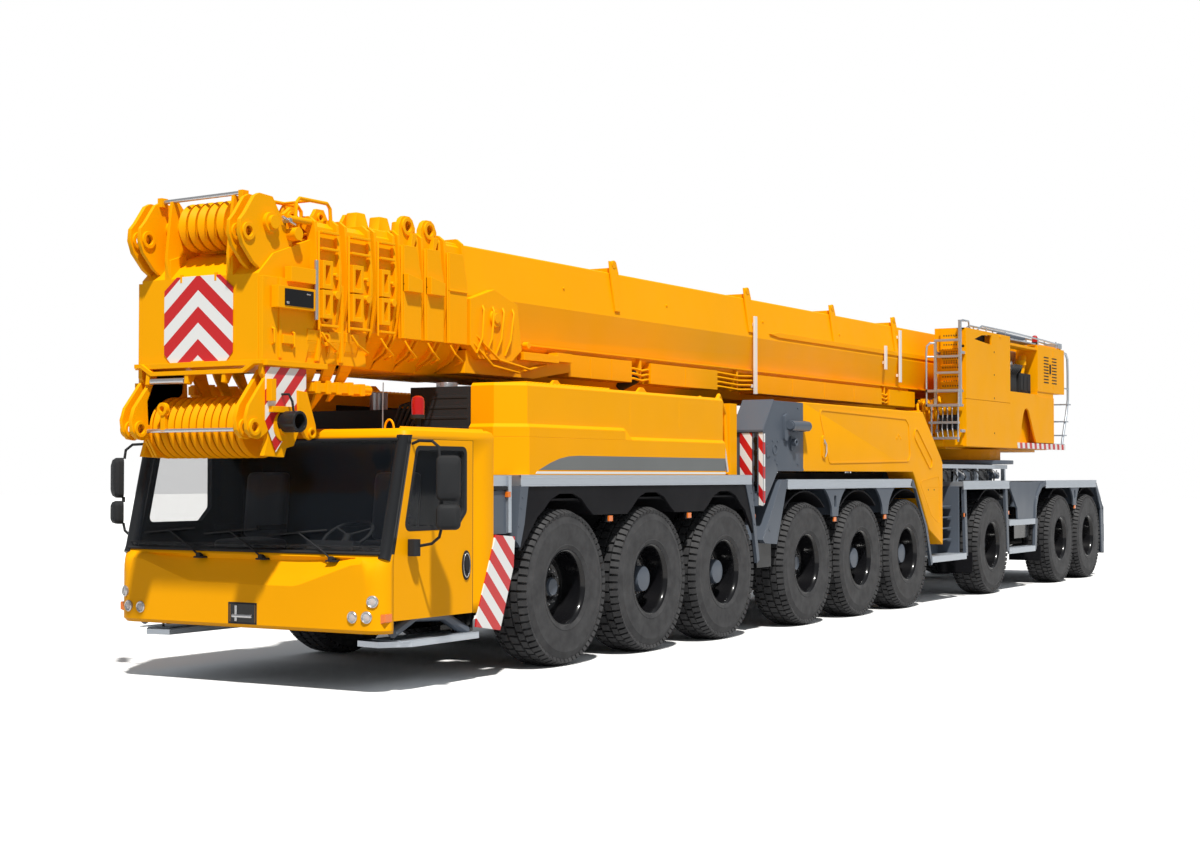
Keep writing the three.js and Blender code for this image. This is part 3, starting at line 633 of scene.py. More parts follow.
def nodes_mesh(tree, ids, values):
    """Runs a tree once on an empty mesh and gives back the plain mesh that it makes."""
    holder = bpy.data.objects.new("holder", bpy.data.meshes.new("holder"))
    bpy.context.scene.collection.objects.link(holder)
    step = holder.modifiers.new("nodes", "NODES")
    step.node_group = tree
    for label, value in values.items():
        step[ids[label]] = value
    bpy.context.view_layer.update()
    evaluated = holder.evaluated_get(bpy.context.evaluated_depsgraph_get())
    data = bpy.data.meshes.new_from_object(evaluated)
    bpy.data.objects.remove(holder)
    return data


TREAD_TREE, TREAD_IDS = tread_tree()
TYRE_WIDE = 0.2225
ROWS = [  # count, radius, place across, stagger, tilt, width, length, height
    (62, 0.7035, 0.172, 0.0, 0.42, 0.084, 0.050, 0.038),
    (62, 0.7035, -0.172, 0.5, -0.42, 0.084, 0.050, 0.038),
    (46, 0.722, 0.098, 0.0, 0.0, 0.066, 0.078, 0.032), (46, 0.722, -0.098, 0.25, 0.0, 0.066, 0.078, 0.032),
    (46, 0.722, 0.0, 0.5, 0.0, 0.086, 0.078, 0.032),
]
LABELS = ("Count", "Radius", "Place", "Stagger", "Tilt", "Width", "Length", "Height")
TREADS = [nodes_mesh(TREAD_TREE, TREAD_IDS, {**dict(zip(LABELS, row)), "Material": TYRE}) for row in ROWS]
print("tread rows:", [len(data.polygons) // 6 for data in TREADS])

# %% [markdown]
# ## Tyre and rim sections
# Both sections are closed loops of (radius, place across). The tyre swells between the bead and the
# shoulder. The rim is a deep bowl: the disc sits far in, so only its bright nuts catch the light.

# %% Sections
TYRE_SECTION = [(0.350, 0.190), (0.368, 0.206), (0.392, 0.213), (0.400, 0.219), (0.408, 0.214),
                (0.470, 0.221), (0.540, 0.2225), (0.600, 0.219), (0.606, 0.221), (0.612, 0.217),
                (0.660, 0.205), (0.696, 0.188), (0.708, 0.168), (0.712, 0.120),]
TYRE_SECTION += [(radius, -place) for radius, place in reversed(TYRE_SECTION)]
RIM_SECTION = [(0.362, 0.200), (0.362, 0.187), (0.340, 0.180), (0.340, -0.180), (0.362, -0.187),
               (0.362, -0.200), (0.332, -0.200), (0.322, -0.165), (0.322, -0.105), (0.215, -0.090),
               (0.130, -0.096), (0, -0.096), (0, 0.045), (0.080, 0.045), (0.098, 0.030), (0.106, -0.035),
               (0.205, -0.040), (0.235, -0.022), (0.305, -0.035), (0.320, -0.005), (0.322, 0.150),
               (0.332, 0.178), (0.345, 0.200), (0.352, 0.204),]
DRUM_SECTION = [(0.150, -0.206), (0.262, -0.206), (0.275, -0.190), (0.275, -0.110), (0.150, -0.110)]
CAP_SECTION = [(0, -0.03), (0.132, -0.03), (0.132, 0.100), (0.124, 0.118), (0.060, 0.124), (0, 0.124)]
NUTS = 12


def add_wheel(number, side):
    """Turned in the wheel's own place, with the outer face away from the machine."""
    node = f"wheel_{number}_{side}"
    centre = middle(node)
    away = 1 if side == "left" else -1
    place = (centre.x + away * (SIDE - TYRE_WIDE - abs(centre.x)), centre.y - FIRST_AXLE, centre.z)
    axis = (away, 0, 0)
    tyre = Work(TYRE).turned(TYRE_SECTION, place, axis, 72)
    for data in TREADS:
        tyre.lift(data, (place[0], centre.y, centre.z))
    tyre.done(f"tyre_{number}_{side}", node, 0, [node])
    rim = Work(RIM_BLACK).turned(RIM_SECTION, place, axis, 48).turned(DRUM_SECTION, place, axis, 32)
    rim.use(STEEL)
    for i in range(NUTS):
        turn = 2 * math.pi * i / NUTS
        d, z = place[1] + 0.166 * math.cos(turn), place[2] + 0.166 * math.sin(turn)
        rim.bar((place[0] - away * 0.045, d, z), (place[0] + away * 0.004, d, z), 0.017, 6)
        rim.bar((place[0], d, z), (place[0] + away * 0.022, d, z), 0.011, 8, 0.008)
    rim.use(GREY)
    if number in DRIVEN:
        rim.turned(CAP_SECTION, place, axis, 40)
    else:
        rim.turned([(0, 0.040), (0.088, 0.040), (0.078, 0.062), (0, 0.066)], place, axis, 32)
    rim.done(f"rim_{number}_{side}", node, 0)


for wheel in range(1, 10):
    for side in ("left", "right"):
        add_wheel(wheel, side)
print("wheels:", 2 * len(AXLES), "with", NUTS, "nuts each")

# %% [markdown]
# ## Driver's cab
# The cab is one pressed shell with a raked screen and rounded corners. It is lofted: at each height the plan
# is the same row of stations, moved back as the screen leans, so the openings fall between stations. Faces in
# an opening are left out, and a Solidify modifier then gives the walls their thickness and a black lining.

# %% Plan stations of the cab at a height
CAB_HALF = SIDE - 0.003
CAB_FRONT, CAB_REAR = -2.846, -1.203
DOOR_REAR = -1.555
SCREEN_Z = (1.150, 2.100)
ROOF = 2.190
FRONT_XS = (0, 0.20, 0.40, 0.55, 0.62, 0.80, 1.00, 1.16, 1.27)


def screen_lean(z):
    return -2.776 + (z - 1.12) * 0.26 / 1.07


def cab_front(z):
    if z >= 1.12:
        return screen_lean(z)
    blend = max(0.0, (z - 0.96) / 0.16)
    return CAB_FRONT + blend * blend * (screen_lean(1.12) - CAB_FRONT)


def door_front(z):
    return max(-2.687, screen_lean(z) + 0.092)


CREASE = 0.87


def crease_height(x, z):
    """Bends the row at the crease: it runs level in the middle, then climbs to the screen's corners."""
    rise = 0.20 * min(1.0, max(0.0, (x - 0.58) / 0.62))
    below, above = (z - 0.60) / (CREASE - 0.60), (1.12 - z) / (1.12 - CREASE)
    return z + rise * max(0.0, min(below, above, 1.0))


def scoop(z):
    """How far the front panel falls back above its crease."""
    return 0.060 * min(1.0, max(0.0, (z - CREASE) / 0.13)) if z < 1.12 else 0.0


def cab_plan(z, shrink=0.0):
    """Left half of the plan, from the middle of the front round to the middle of the back."""
    front, side = cab_front(z) + shrink, CAB_HALF - shrink
    turn = max(0.03, door_front(z) - cab_front(z))
    plan = [(x, front + scoop(z) * min(1.0, (1.30 - x) / 0.3)) for x in FRONT_XS]
    for i in range(7):
        angle = math.radians(15 * i)
        plan.append((side - turn * (1 - math.sin(angle)), front + turn * (1 - math.cos(angle))))
    plan.append((side, DOOR_REAR))
    for i in range(4):
        angle = math.radians(30 * i)
        plan.append((side - 0.05 * (1 - math.cos(angle)), CAB_REAR - shrink - 0.05 * (1 - math.sin(angle))))
    return plan + [(0.95, CAB_REAR - shrink), (0, CAB_REAR - shrink)]


CORNER = len(FRONT_XS)
LAST_CORNER = CORNER + 6
CAB_ROWS = (0.50, 0.53, 0.60, 0.70, 0.80, CREASE, 0.90, 0.94, 1.00, 1.04, 1.08, 1.12, SCREEN_Z[0], 1.35, 1.60,
            1.85, SCREEN_Z[1], 2.135, 2.17, ROOF)
SHRINK = {0.50: 0.02, 2.17: 0.012, ROOF: 0.045}


# %% The shell's skin
def opening(row, column):
    z = (CAB_ROWS[row] + CAB_ROWS[row + 1]) / 2
    if SCREEN_Z[0] < z < SCREEN_Z[1] and column < CORNER + 1:
        return True
    if column == LAST_CORNER and z < SCREEN_Z[1]:
        return True
    return column > LAST_CORNER and z < 0.60


def cab_skin():
    skin = bmesh.new()
    rows = []
    for z in CAB_ROWS:
        plan = cab_plan(z, SHRINK.get(z, 0))
        left = [skin.verts.new((x, aft(d), crease_height(x, z) if i < CORNER else z))
                for i, (x, d) in enumerate(plan)]
        right = [skin.verts.new((-v.co.x, v.co.y, v.co.z)) for v in left[1:-1]]
        rows.append((left, [left[0]] + right + [left[-1]]))
    for row in range(len(rows) - 1):
        for column in range(len(rows[0][0]) - 1):
            if opening(row, column):
                continue
            for low, high, turn in ((rows[row][0], rows[row + 1][0], 1),
                                    (rows[row][1], rows[row + 1][1], -1)):
                quad = (low[column], low[column + 1], high[column + 1], high[column])
                face = skin.faces.new(quad[::turn])
                pillar = CORNER <= column <= LAST_CORNER - 1 and CAB_ROWS[row] >= SCREEN_Z[0]
                face.material_index = 3 if pillar and CAB_ROWS[row + 1] <= 2.14 else 0
    top_left, top_right = rows[-1]
    skin.faces.new(top_left + top_right[-2:0:-1])
    return skin


def add_cab_shell():
    data = bpy.data.meshes.new("cab_skin")
    skin = cab_skin()
    bmesh.ops.recalc_face_normals(skin, faces=skin.faces)
    if sum(face.normal.z for face in skin.faces if face.calc_center_median().z > ROOF - 0.01) < 0:
        bmesh.ops.reverse_faces(skin, faces=skin.faces)
    skin.to_mesh(data)
    skin.free()
    shell = finish_piece("cab_skin", data, "chassis", [YELLOW, TRIM, TRIM, DARK], 0, 22)
    wall = shell.modifiers.new("wall", "SOLIDIFY")
    wall.thickness = 0.04
    wall.offset = -1
    wall.material_offset = 1
    wall.material_offset_rim = 1
    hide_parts("cab_shell")


add_cab_shell()
print("cab rows", len(CAB_ROWS), "and plan stations", len(cab_plan(1.0)))

# %% [markdown]
# ## Glass and pillars
# The screen is one bent pane that follows the same plan a little way inside the skin. Black rubber hides its
# edge, and round black pillars cover both corners.

# %% Windscreen, pillars and wipers
def bent_pane(low, high, columns):
    pane = bmesh.new()
    rows = []
    for i in range(9):
        z = low + (high - low) * i / 8
        left = [(x, d + 0.012) for x, d in cab_plan(z)[:columns]]
        line = [(-x, d) for x, d in reversed(left[1:])] + left
        rows.append([pane.verts.new((x, aft(d), z)) for x, d in line])
    for a, b in zip(rows, rows[1:]):
        for i in range(len(a) - 1):
            pane.faces.new((a[i], a[i + 1], b[i + 1], b[i]))
    return pane


def add_screen():
    data = bpy.data.meshes.new("windscreen_pane")
    pane = bent_pane(SCREEN_Z[0] - 0.02, SCREEN_Z[1] + 0.02, CORNER + 3)
    pane.to_mesh(data)
    pane.free()
    glass_piece = finish_piece("windscreen_pane", data, "chassis", [WINDOW], 0, 60)
    thick = glass_piece.modifiers.new("pane", "SOLIDIFY")
    thick.thickness = 0.010
    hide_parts("windscreen")
    trim = Work(TRIM)
    for z, radius in ((SCREEN_Z[0] + 0.005, 0.014), (SCREEN_Z[1] - 0.005, 0.014)):
        left = [(x, d - 0.004, z) for x, d in cab_plan(z)[:CORNER + 2]]
        trim.tube([(-x, d, z) for x, d, z in reversed(left[1:])] + left, radius, 8)
    band = [(x, d - 0.001) for x, d in cab_plan(1.20)[:CORNER + 2]]
    for i, (x, d) in enumerate(band[:-1]):
        for away in (1, -1):
            trim.bar((away * x, d, 1.21), (away * band[i + 1][0], band[i + 1][1], 1.21), 0.004, 6)
    trim.done("screen_rubber", "chassis", 0)
    pillars = Work(DARK)
    line = [(CAB_HALF - 0.058, cab_front(z) + 0.050, z) for z in (1.10, 1.16, 1.40, 1.65, 1.90, 2.08, 2.125)]
    pillars.tube(line, 0.055, 20)
    pillars.mirror().done("screen_pillars", "chassis", 0.006)


def add_wipers():
    wipers = Work(TRIM)
    for x in (-0.55, 0.16, 0.92):
        base = (x, cab_front(1.10) + 0.012, 1.10)
        knee = (x - 0.10, cab_front(1.15) - 0.022, 1.17)
        tip = (x - 0.40, cab_front(1.30) - 0.020, 1.32)
        wipers.bar((x, base[1] + 0.03, 1.10), (x, base[1] - 0.03, 1.105), 0.024, 14)
        wipers.tube([(x, base[1] - 0.02, 1.105), knee, tip], 0.008, 8)
        wipers.tube([(tip[0] - 0.30, cab_front(1.30) - 0.010, 1.29), (tip[0], tip[1] + 0.006, 1.315),
                     (tip[0] + 0.30, cab_front(1.34) - 0.010, 1.34)], 0.009, 6)
        wipers.box(x - 0.05, x + 0.06, base[1] - 0.03, base[1] + 0.05, 1.080, 1.095)
    wipers.done("wipers", "chassis", 0.002)


add_screen()
add_wipers()

# %% [markdown]
# ## Lamps, coupling and roof
# Six round lamps are turned: a chromed bowl, a clear lens and a steel ring. The front coupling hides in a
# black recess, and a beacon stands on the roof beside a lifting eye.

# %% Front fittings
LAMPS = ((1.386, 0.769, 0.36), (1.334, 0.640, 0.16), (1.187, 0.636, 0.0))
LAMP_RING = [(0.036, -0.02), (0.050, -0.02), (0.050, 0.006), (0.044, 0.012), (0.038, 0.008)]
LAMP_BOWL = [(0, -0.018), (0.037, 0.002), (0.040, -0.001), (0.030, -0.022), (0, -0.026)]
LAMP_LENS = [(0, 0.010), (0.022, 0.008), (0.038, 0.002), (0.037, -0.002), (0.020, 0.003), (0, 0.005)]


def add_lamps():
    lamps = Work(STEEL)
    for x, z, lean in LAMPS:
        d = CAB_FRONT - 0.002 + max(0.0, 0.16 - math.sqrt(max(0.0, 0.0256 - max(0.0, x - 1.33) ** 2)))
        place, axis = (x, d, z), (lean, -1, 0)
        lamps.use(STEEL).turned(LAMP_RING, place, axis, 28).turned(LAMP_BOWL, place, axis, 28)
        lamps.use(LAMP_GLASS).turned(LAMP_LENS, place, axis, 28)
    lamps.mirror().done("front_lamps", "chassis", 0)
    markers = Work(ORANGE_LAMP)
    markers.along(-2.80, -2.70, [(1.435, 0.585), (1.486, 0.60), (1.486, 0.67), (1.435, 0.665)])
    markers.mirror().done("corner_indicators", "chassis", 0.006)


def add_coupling():
    recess = Work(RIM_BLACK).box(-0.14, 0.14, CAB_FRONT - 0.001, CAB_FRONT + 0.02, 0.545, 0.705)
    recess.use(TRIM)
    for x0, x1, z0, z1 in ((-0.16, 0.16, 0.70, 0.716), (-0.16, 0.16, 0.532, 0.548),
                           (-0.16, -0.142, 0.54, 0.71), (0.142, 0.16, 0.54, 0.71)):
        recess.box(x0, x1, CAB_FRONT - 0.003, CAB_FRONT + 0.02, z0, z1)
    recess.use(STEEL).bar((-0.11, CAB_FRONT - 0.002, 0.60), (0.11, CAB_FRONT - 0.002, 0.60), 0.016, 14)
    recess.bar((-0.07, CAB_FRONT - 0.002, 0.555), (-0.07, CAB_FRONT - 0.002, 0.69), 0.013, 14)
    recess.done("front_coupling", "chassis", 0.003)


def add_roof_fittings():
    roof = Work(YELLOW)
    front = screen_lean(ROOF)
    roof.along(front + 0.05, CAB_REAR - 0.06, [(1.36, ROOF - 0.006), (1.38, ROOF + 0.018),
                                               (1.40, ROOF - 0.006)])
    roof.mirror()
    roof.upward(ROOF - 0.004, ROOF + 0.014, [(-0.42, -2.2), (0.42, -2.2), (0.42, -1.5), (-0.42, -1.5)])
    eye = [(0.95 + 0.05 * math.cos(math.radians(t)), -2.05, ROOF + 0.09 * math.sin(math.radians(t)))
           for t in range(0, 181, 20)]
    roof.tube(eye, 0.010, 8)
    roof.tube([(-x, d, z) for x, d, z in eye], 0.010, 8)
    roof.use(TRIM).box(1.02, 1.18, -1.92, -1.76, ROOF - 0.004, ROOF + 0.03)
    roof.bar((1.10, -1.84, ROOF + 0.02), (1.10, -1.84, ROOF + 0.11), 0.025, 16)
    roof.bar((1.10, -1.84, ROOF + 0.10), (1.10, -1.84, ROOF + 0.135), 0.062, 24)
    roof.use(STEEL).tube([(0.80, -1.95, ROOF), (0.80, -1.95, ROOF + 0.20), (0.79, -1.93, ROOF + 0.42)],
                         0.006, 6)
    roof.done("roof_fittings", "chassis", 0.003)
    dome = [(0, 0.0), (0.056, 0.0), (0.058, 0.11), (0.050, 0.150), (0.030, 0.165), (0, 0.170)]
    beacon = Work(RED_LAMP).turned(dome, (1.10, -1.84, ROOF + 0.133), (0, 0, 1), 28)
    beacon.done("roof_beacon", "chassis", 0)


add_lamps()
add_coupling()
add_roof_fittings()

# %% [markdown]
# ## Doors
# Each door hangs on its own body. The panel is an outline with a window cut out of it: the region between
# the two loops is filled, then carried through the wall's thickness. Its mirrors ride with it on a bent arm.

# %% Door panel, window and mirrors
DOOR_LOW, DOOR_TOP = 0.603, 2.097
DOOR_OUTLINE = [(-2.686, DOOR_LOW), (DOOR_REAR - 0.005, DOOR_LOW), (DOOR_REAR - 0.005, DOOR_TOP),
                (screen_lean(DOOR_TOP) + 0.092, DOOR_TOP), (-2.686, 1.125)]
WINDOW_OUTLINE = [(screen_lean(1.35) + 0.17, 1.335), (-1.80, 1.335), (-1.65, 1.48), (-1.65, 2.045),
                  (screen_lean(2.045) + 0.17, 2.045)]
WINDOW_INNER = [(screen_lean(1.38) + 0.205, 1.372), (-1.815, 1.372), (-1.687, 1.495), (-1.687, 2.008),
                (screen_lean(2.008) + 0.205, 2.008)]
MIRROR_TURN = math.radians(33)
MIRROR_MIDDLE = (1.872, -2.462)


def swung(outline):
    """A plan outline turned about the mirror's middle, so its outer edge lies further back."""
    x, d = MIRROR_MIDDLE
    c, s = math.cos(MIRROR_TURN), math.sin(MIRROR_TURN)
    return [(x + (a - x) * c - (b - d) * s, d + (a - x) * s + (b - d) * c) for a, b in outline]


def oval(share):
    """The door handle's bowl, as a share of its full size."""
    turns = [2 * math.pi * i / 28 for i in range(28)]
    return [(-1.662 + 0.062 * share * math.cos(t), 1.020 + 0.128 * share * math.sin(t)) for t in turns]


def add_door(side):
    node = f"cab_door_{side}"
    skin = SIDE - 0.003
    door = Work(YELLOW)
    door.hollow_across(skin - 0.05, skin, DOOR_OUTLINE, rounded(WINDOW_OUTLINE, 0.06))
    door.use(TRIM)
    door.hollow_across(skin - 0.058, skin + 0.003, rounded(WINDOW_OUTLINE, 0.06),
                       rounded(WINDOW_INNER, 0.045))
    door.across(skin - 0.002, skin + 0.010, oval(1.0))
    door.use(STEEL).hollow_across(skin + 0.006, skin + 0.014, oval(0.84), oval(0.76))
    door.use(TRIM).across(skin + 0.006, skin + 0.022, rounded([(-1.690, 0.97), (-1.655, 0.97), (-1.655, 1.10),
                                                               (-1.690, 1.10)], 0.015))
    door.hollow_across(skin - 0.055, skin - 0.0495, DOOR_OUTLINE, rounded(WINDOW_OUTLINE, 0.06))
    door.use(WINDOW).across(skin - 0.032, skin - 0.026, rounded(WINDOW_INNER, 0.04))
    door.use(TRIM).tube([(skin, -2.44, 2.060), (1.56, -2.44, 2.085), (1.70, -2.45, 2.080),
                         (1.775, -2.46, 2.03), (1.785, -2.465, 1.95)], 0.013, 10)
    door.bar((1.80, -2.46, 1.55), (1.80, -2.46, 1.60), 0.016, 10)
    door.tube([(1.80, -2.46, 1.36), (1.78, -2.46, 1.29), (1.70, -2.455, 1.235), (1.58, -2.45, 1.215),
               (skin, -2.45, 1.205)], 0.013, 10)
    door.upward(1.130, 1.270, rounded([(skin + 0.005, -2.52), (skin + 0.10, -2.52), (skin + 0.10, -2.44),
                                       (skin + 0.005, -2.44)], 0.025))
    housings = Work(TRIM)
    for low, high in ((1.590, 1.960), (1.350, 1.562)):
        face = rounded([(1.772, low), (1.972, low), (1.972, high), (1.772, high)], 0.045)
        rings = [[(x * wide + MIRROR_MIDDLE[0] * (1 - wide), z * wide + (low + high) / 2 * (1 - wide), d)
                  for x, z in face] for d, wide in ((-2.425, 1.0), (-2.470, 1.0), (-2.500, 0.90),
                                                    (-2.515, 0.68))]
        placed = [[(*swung([(x, d)])[0], z) for x, z, d in ring] for ring in rings]
        for first, second in zip(placed, placed[1:]):
            housings.loft(first, second)
    glass_plan = swung([(1.795, -2.428), (1.950, -2.428), (1.950, -2.4235), (1.795, -2.4235)])
    housings.use(MIRROR_GLASS).upward(1.615, 1.935, glass_plan).upward(1.375, 1.540, glass_plan)
    if side == "right":
        door.flip_side()
        housings.flip_side()
    door.done(f"door_{side}", node, 0.004, [node])
    housings.done(f"mirrors_{side}", node, 0.002, [], 60)


for side in ("left", "right"):
    add_door(side)

# %% [markdown]
# ## Inside the cab
# Through the glass one sees two seats, a dark dashboard and the steering wheel. The seats are padded: their
# cushions are crowned boxes smoothed by subdivision, without a cloth simulation.

# %% Seats, dashboard and wheel
def cushion(name, x, d0, d1, z0, z1, width, lean=0.0):
    form = bmesh.new()
    bmesh.ops.create_grid(form, x_segments=6, y_segments=6, size=1)
    for vert in form.verts:
        u, v = vert.co.x, vert.co.y
        crown = (1 - u * u) * (1 - v * v)
        channel = -0.12 if abs(abs(u) - 0.66) < 0.02 else 0
        vert.co.z = 0.75 + 0.28 * crown + channel
    grown = bmesh.ops.extrude_face_region(form, geom=list(form.faces))["geom"]
    bottom = [item for item in grown if isinstance(item, bmesh.types.BMVert)]
    for vert in bottom:
        vert.co.z = -0.9
    bmesh.ops.recalc_face_normals(form, faces=form.faces)
    across, deep, tall = width / 2, abs(d1 - d0) / 2, (z1 - z0) / 2
    for vert in form.verts:
        u, v, w = vert.co
        if lean:
            place = (x + u * across, (d0 + d1) / 2 - w * deep + lean * v, (z0 + z1) / 2 + v * tall)
        else:
            place = (x + u * across, (d0 + d1) / 2 + v * deep, (z0 + z1) / 2 + w * tall)
        vert.co = (place[0], aft(place[1]), place[2])
    bmesh.ops.recalc_face_normals(form, faces=form.faces)
    data = bpy.data.meshes.new(name)
    form.to_mesh(data)
    form.free()
    piece = finish_piece(name, data, "chassis", [FABRIC], 0, 60)
    smooth = piece.modifiers.new("padding", "SUBSURF")
    smooth.levels = smooth.render_levels = 2
    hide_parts("cab_interior")


def woven(name, colour):
    material, tree, shader = new_material(name)
    threads = add_node(tree, "ShaderNodeTexWave", Scale=90, Distortion=1.5, Detail=2)
    tree.links.new(object_place(tree), threads.inputs["Vector"])
    tree.links.new(ramp(tree, threads.outputs["Fac"], [(0.2, tint(colour, 0.6)), (0.8, colour)]),
                   shader.inputs["Base Color"])
    shader.inputs["Roughness"].default_value = 0.9
    shader.inputs["Sheen Weight"].default_value = 0.3
    bump(tree, shader, threads.outputs["Fac"], 0.3, 0.002)
    return material


FABRIC = woven("seat_fabric", (0.045, 0.05, 0.06))
SEAT_X = 0.75


def add_cab_inside():
    inside = Work(TRIM)
    inside.box(-1.40, 1.40, -2.60, -1.30, 0.80, 0.83)
    inside.across(-1.41, 1.41, [(-2.78, 0.84), (-2.76, 1.02), (-2.70, 1.14), (-2.56, 1.17), (-2.47, 1.12),
                                (-2.46, 1.02), (-2.52, 0.84)])
    inside.across(0.50, 1.00, [(-2.62, 1.15), (-2.60, 1.25), (-2.52, 1.24), (-2.47, 1.14)])
    for x in (-SEAT_X, SEAT_X):
        inside.box(x - 0.20, x + 0.20, -2.12, -1.70, 0.83, 0.95)
        inside.box(x - 0.12, x + 0.12, -2.05, -1.78, 0.94, 1.10)
        inside.bar((x - 0.08, -1.66, 1.80), (x - 0.08, -1.66, 1.90), 0.008, 8)
        inside.bar((x + 0.08, -1.66, 1.80), (x + 0.08, -1.66, 1.90), 0.008, 8)
        inside.box(x - 0.27, x - 0.24, -2.10, -1.72, 1.30, 1.35).box(x + 0.24, x + 0.27, -2.10, -1.72, 1.30,
                1.35)
    inside.box(-0.30, 0.30, -2.50, -1.55, 0.83, 1.00)
    inside.bar((SEAT_X, -2.50, 1.06), (SEAT_X, -2.36, 1.29), 0.035, 14)
    centre, tilt = Vector((SEAT_X, -2.365, 1.285)), math.radians(32)
    ring = []
    for i in range(24):
        turn = 2 * math.pi * i / 24
        up = 0.225 * math.sin(turn)
        ring.append((centre.x + 0.225 * math.cos(turn), centre.y + up * math.cos(tilt),
                     centre.z + up * math.sin(tilt)))
    inside.tube(ring, 0.015, 8, closed=True)
    for i in (2, 10, 18):
        inside.bar(tuple(centre), ring[i], 0.012, 8)
    inside.box(-1.38, 1.38, -1.262, -1.25, 0.84, 2.12)
    inside.done("cab_inside", "chassis", 0.004, ["cab_interior"])
    for side, x in (("left", SEAT_X), ("right", -SEAT_X)):
        cushion(f"seat_base_{side}", x, -2.15, -1.66, 1.10, 1.235, 0.50)
        cushion(f"seat_back_{side}", x, -1.76, -1.62, 1.22, 1.83, 0.48, 0.03)


add_cab_inside()

# %% [markdown]
# ## Boarding steps and the striped flap
# Below each door an aluminium step hangs in a dark well. Its tread plate is full of round holes with raised
# rims, which Geometry Nodes could punch one by one, but a row of short bars reads the same at this size.

# %% Steps, wells and flaps
def add_steps():
    steps = Work(ALUMINIUM)
    plate = [(1.06, -2.62), (1.30, -2.66), (1.487, -2.44), (1.487, -1.46), (1.06, -1.46)]
    steps.upward(0.375, 0.425, plate)
    for i in range(26):
        d = -2.53 + i * 0.041
        steps.box(1.14, 1.44, d, d + 0.020, 0.425, 0.434)
    steps.upward(0.425, 0.434, [(1.445, -2.56), (1.487, -2.56), (1.487, -1.46), (1.445, -1.46)])
    steps.use(RIM_BLACK).box(1.08, 1.10, -2.62, -1.46, 0.47, 0.80).box(1.10, 1.44, -2.64, -2.62, 0.54, 0.80)
    steps.box(1.10, 1.42, -1.50, -1.46, 0.43, 0.80).box(1.10, 1.43, -2.62, -1.46, 0.76, 0.80)
    steps.bar((1.30, -2.45, 0.42), (1.30, -2.45, 0.76), 0.012, 8).bar((1.30, -1.60, 0.42),
            (1.30, -1.60, 0.76), 0.012, 8)
    steps.use(GREY).tube([(1.40, -2.60, 0.50), (1.40, -2.30, 0.62), (1.40, -1.90, 0.60),
                          (1.40, -1.55, 0.44)], 0.05, 12)
    steps.mirror().done("boarding_steps", "chassis", 0.002)
    flap = Work(SIDE_STRIPES)
    flap.across(SIDE - 0.012, SIDE + 0.006, [(-1.215, 1.27), (-0.905, 1.245), (-0.925, 0.98), (-1.14, 0.42),
                                            (-1.52, 0.475), (-1.50, 0.585)])
    flap.mirror().done("striped_flaps", "chassis", 0.003)
    behind = Work(GREY)
    behind.box(1.02, 1.44, -1.195, -0.93, 1.27, 1.66)
    behind.use(ALUMINIUM).box(1.00, 1.45, -1.195, -0.92, 1.70, 1.80).box(1.40, 1.47, -0.97, -0.92, 1.28, 1.80)
    behind.use(TRIM).box(1.02, 1.46, -1.198, -0.925, 1.665, 1.695)
    behind.box(-1.0, 1.0, -1.195, -0.95, 0.80, 1.60)
    behind.use(ORANGE_LAMP).box(1.44, 1.474, -0.99, -0.94, 1.60, 1.65)
    behind.mirror().done("cab_back_boxes", "chassis", 0.004)


add_steps()
print("cab dressed with", 6, "lamps and 2 doors")

# %% [markdown]
# ## Engine cover and decks
# The cover is a welded tub: its lower panels stand proud of the upper ones, so a small ledge catches the
# light along the side. Below it the front deck carries a black skirt cut in three arches over the wheels,
# and the middle deck carries grey pointed skirts. Orange side markers sit at the tips.

# %% Engine cover
STRIPE_GREY = paint("stripe_grey", (0.19, 0.20, 0.20), 0.5, 0.0)
# The skirt black also serves as painted shade: on sheets at the frame's sides and on a block between the
# outrigger beams.
SKIRT_BLACK_AND_SHADE = paint("skirt_black_and_painted_shade", (0.010, 0.010, 0.012), 0.55, 0.0)
COVER_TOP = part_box("engine_cover")[1][2]
COVER_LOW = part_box("engine_cover")[0][2]


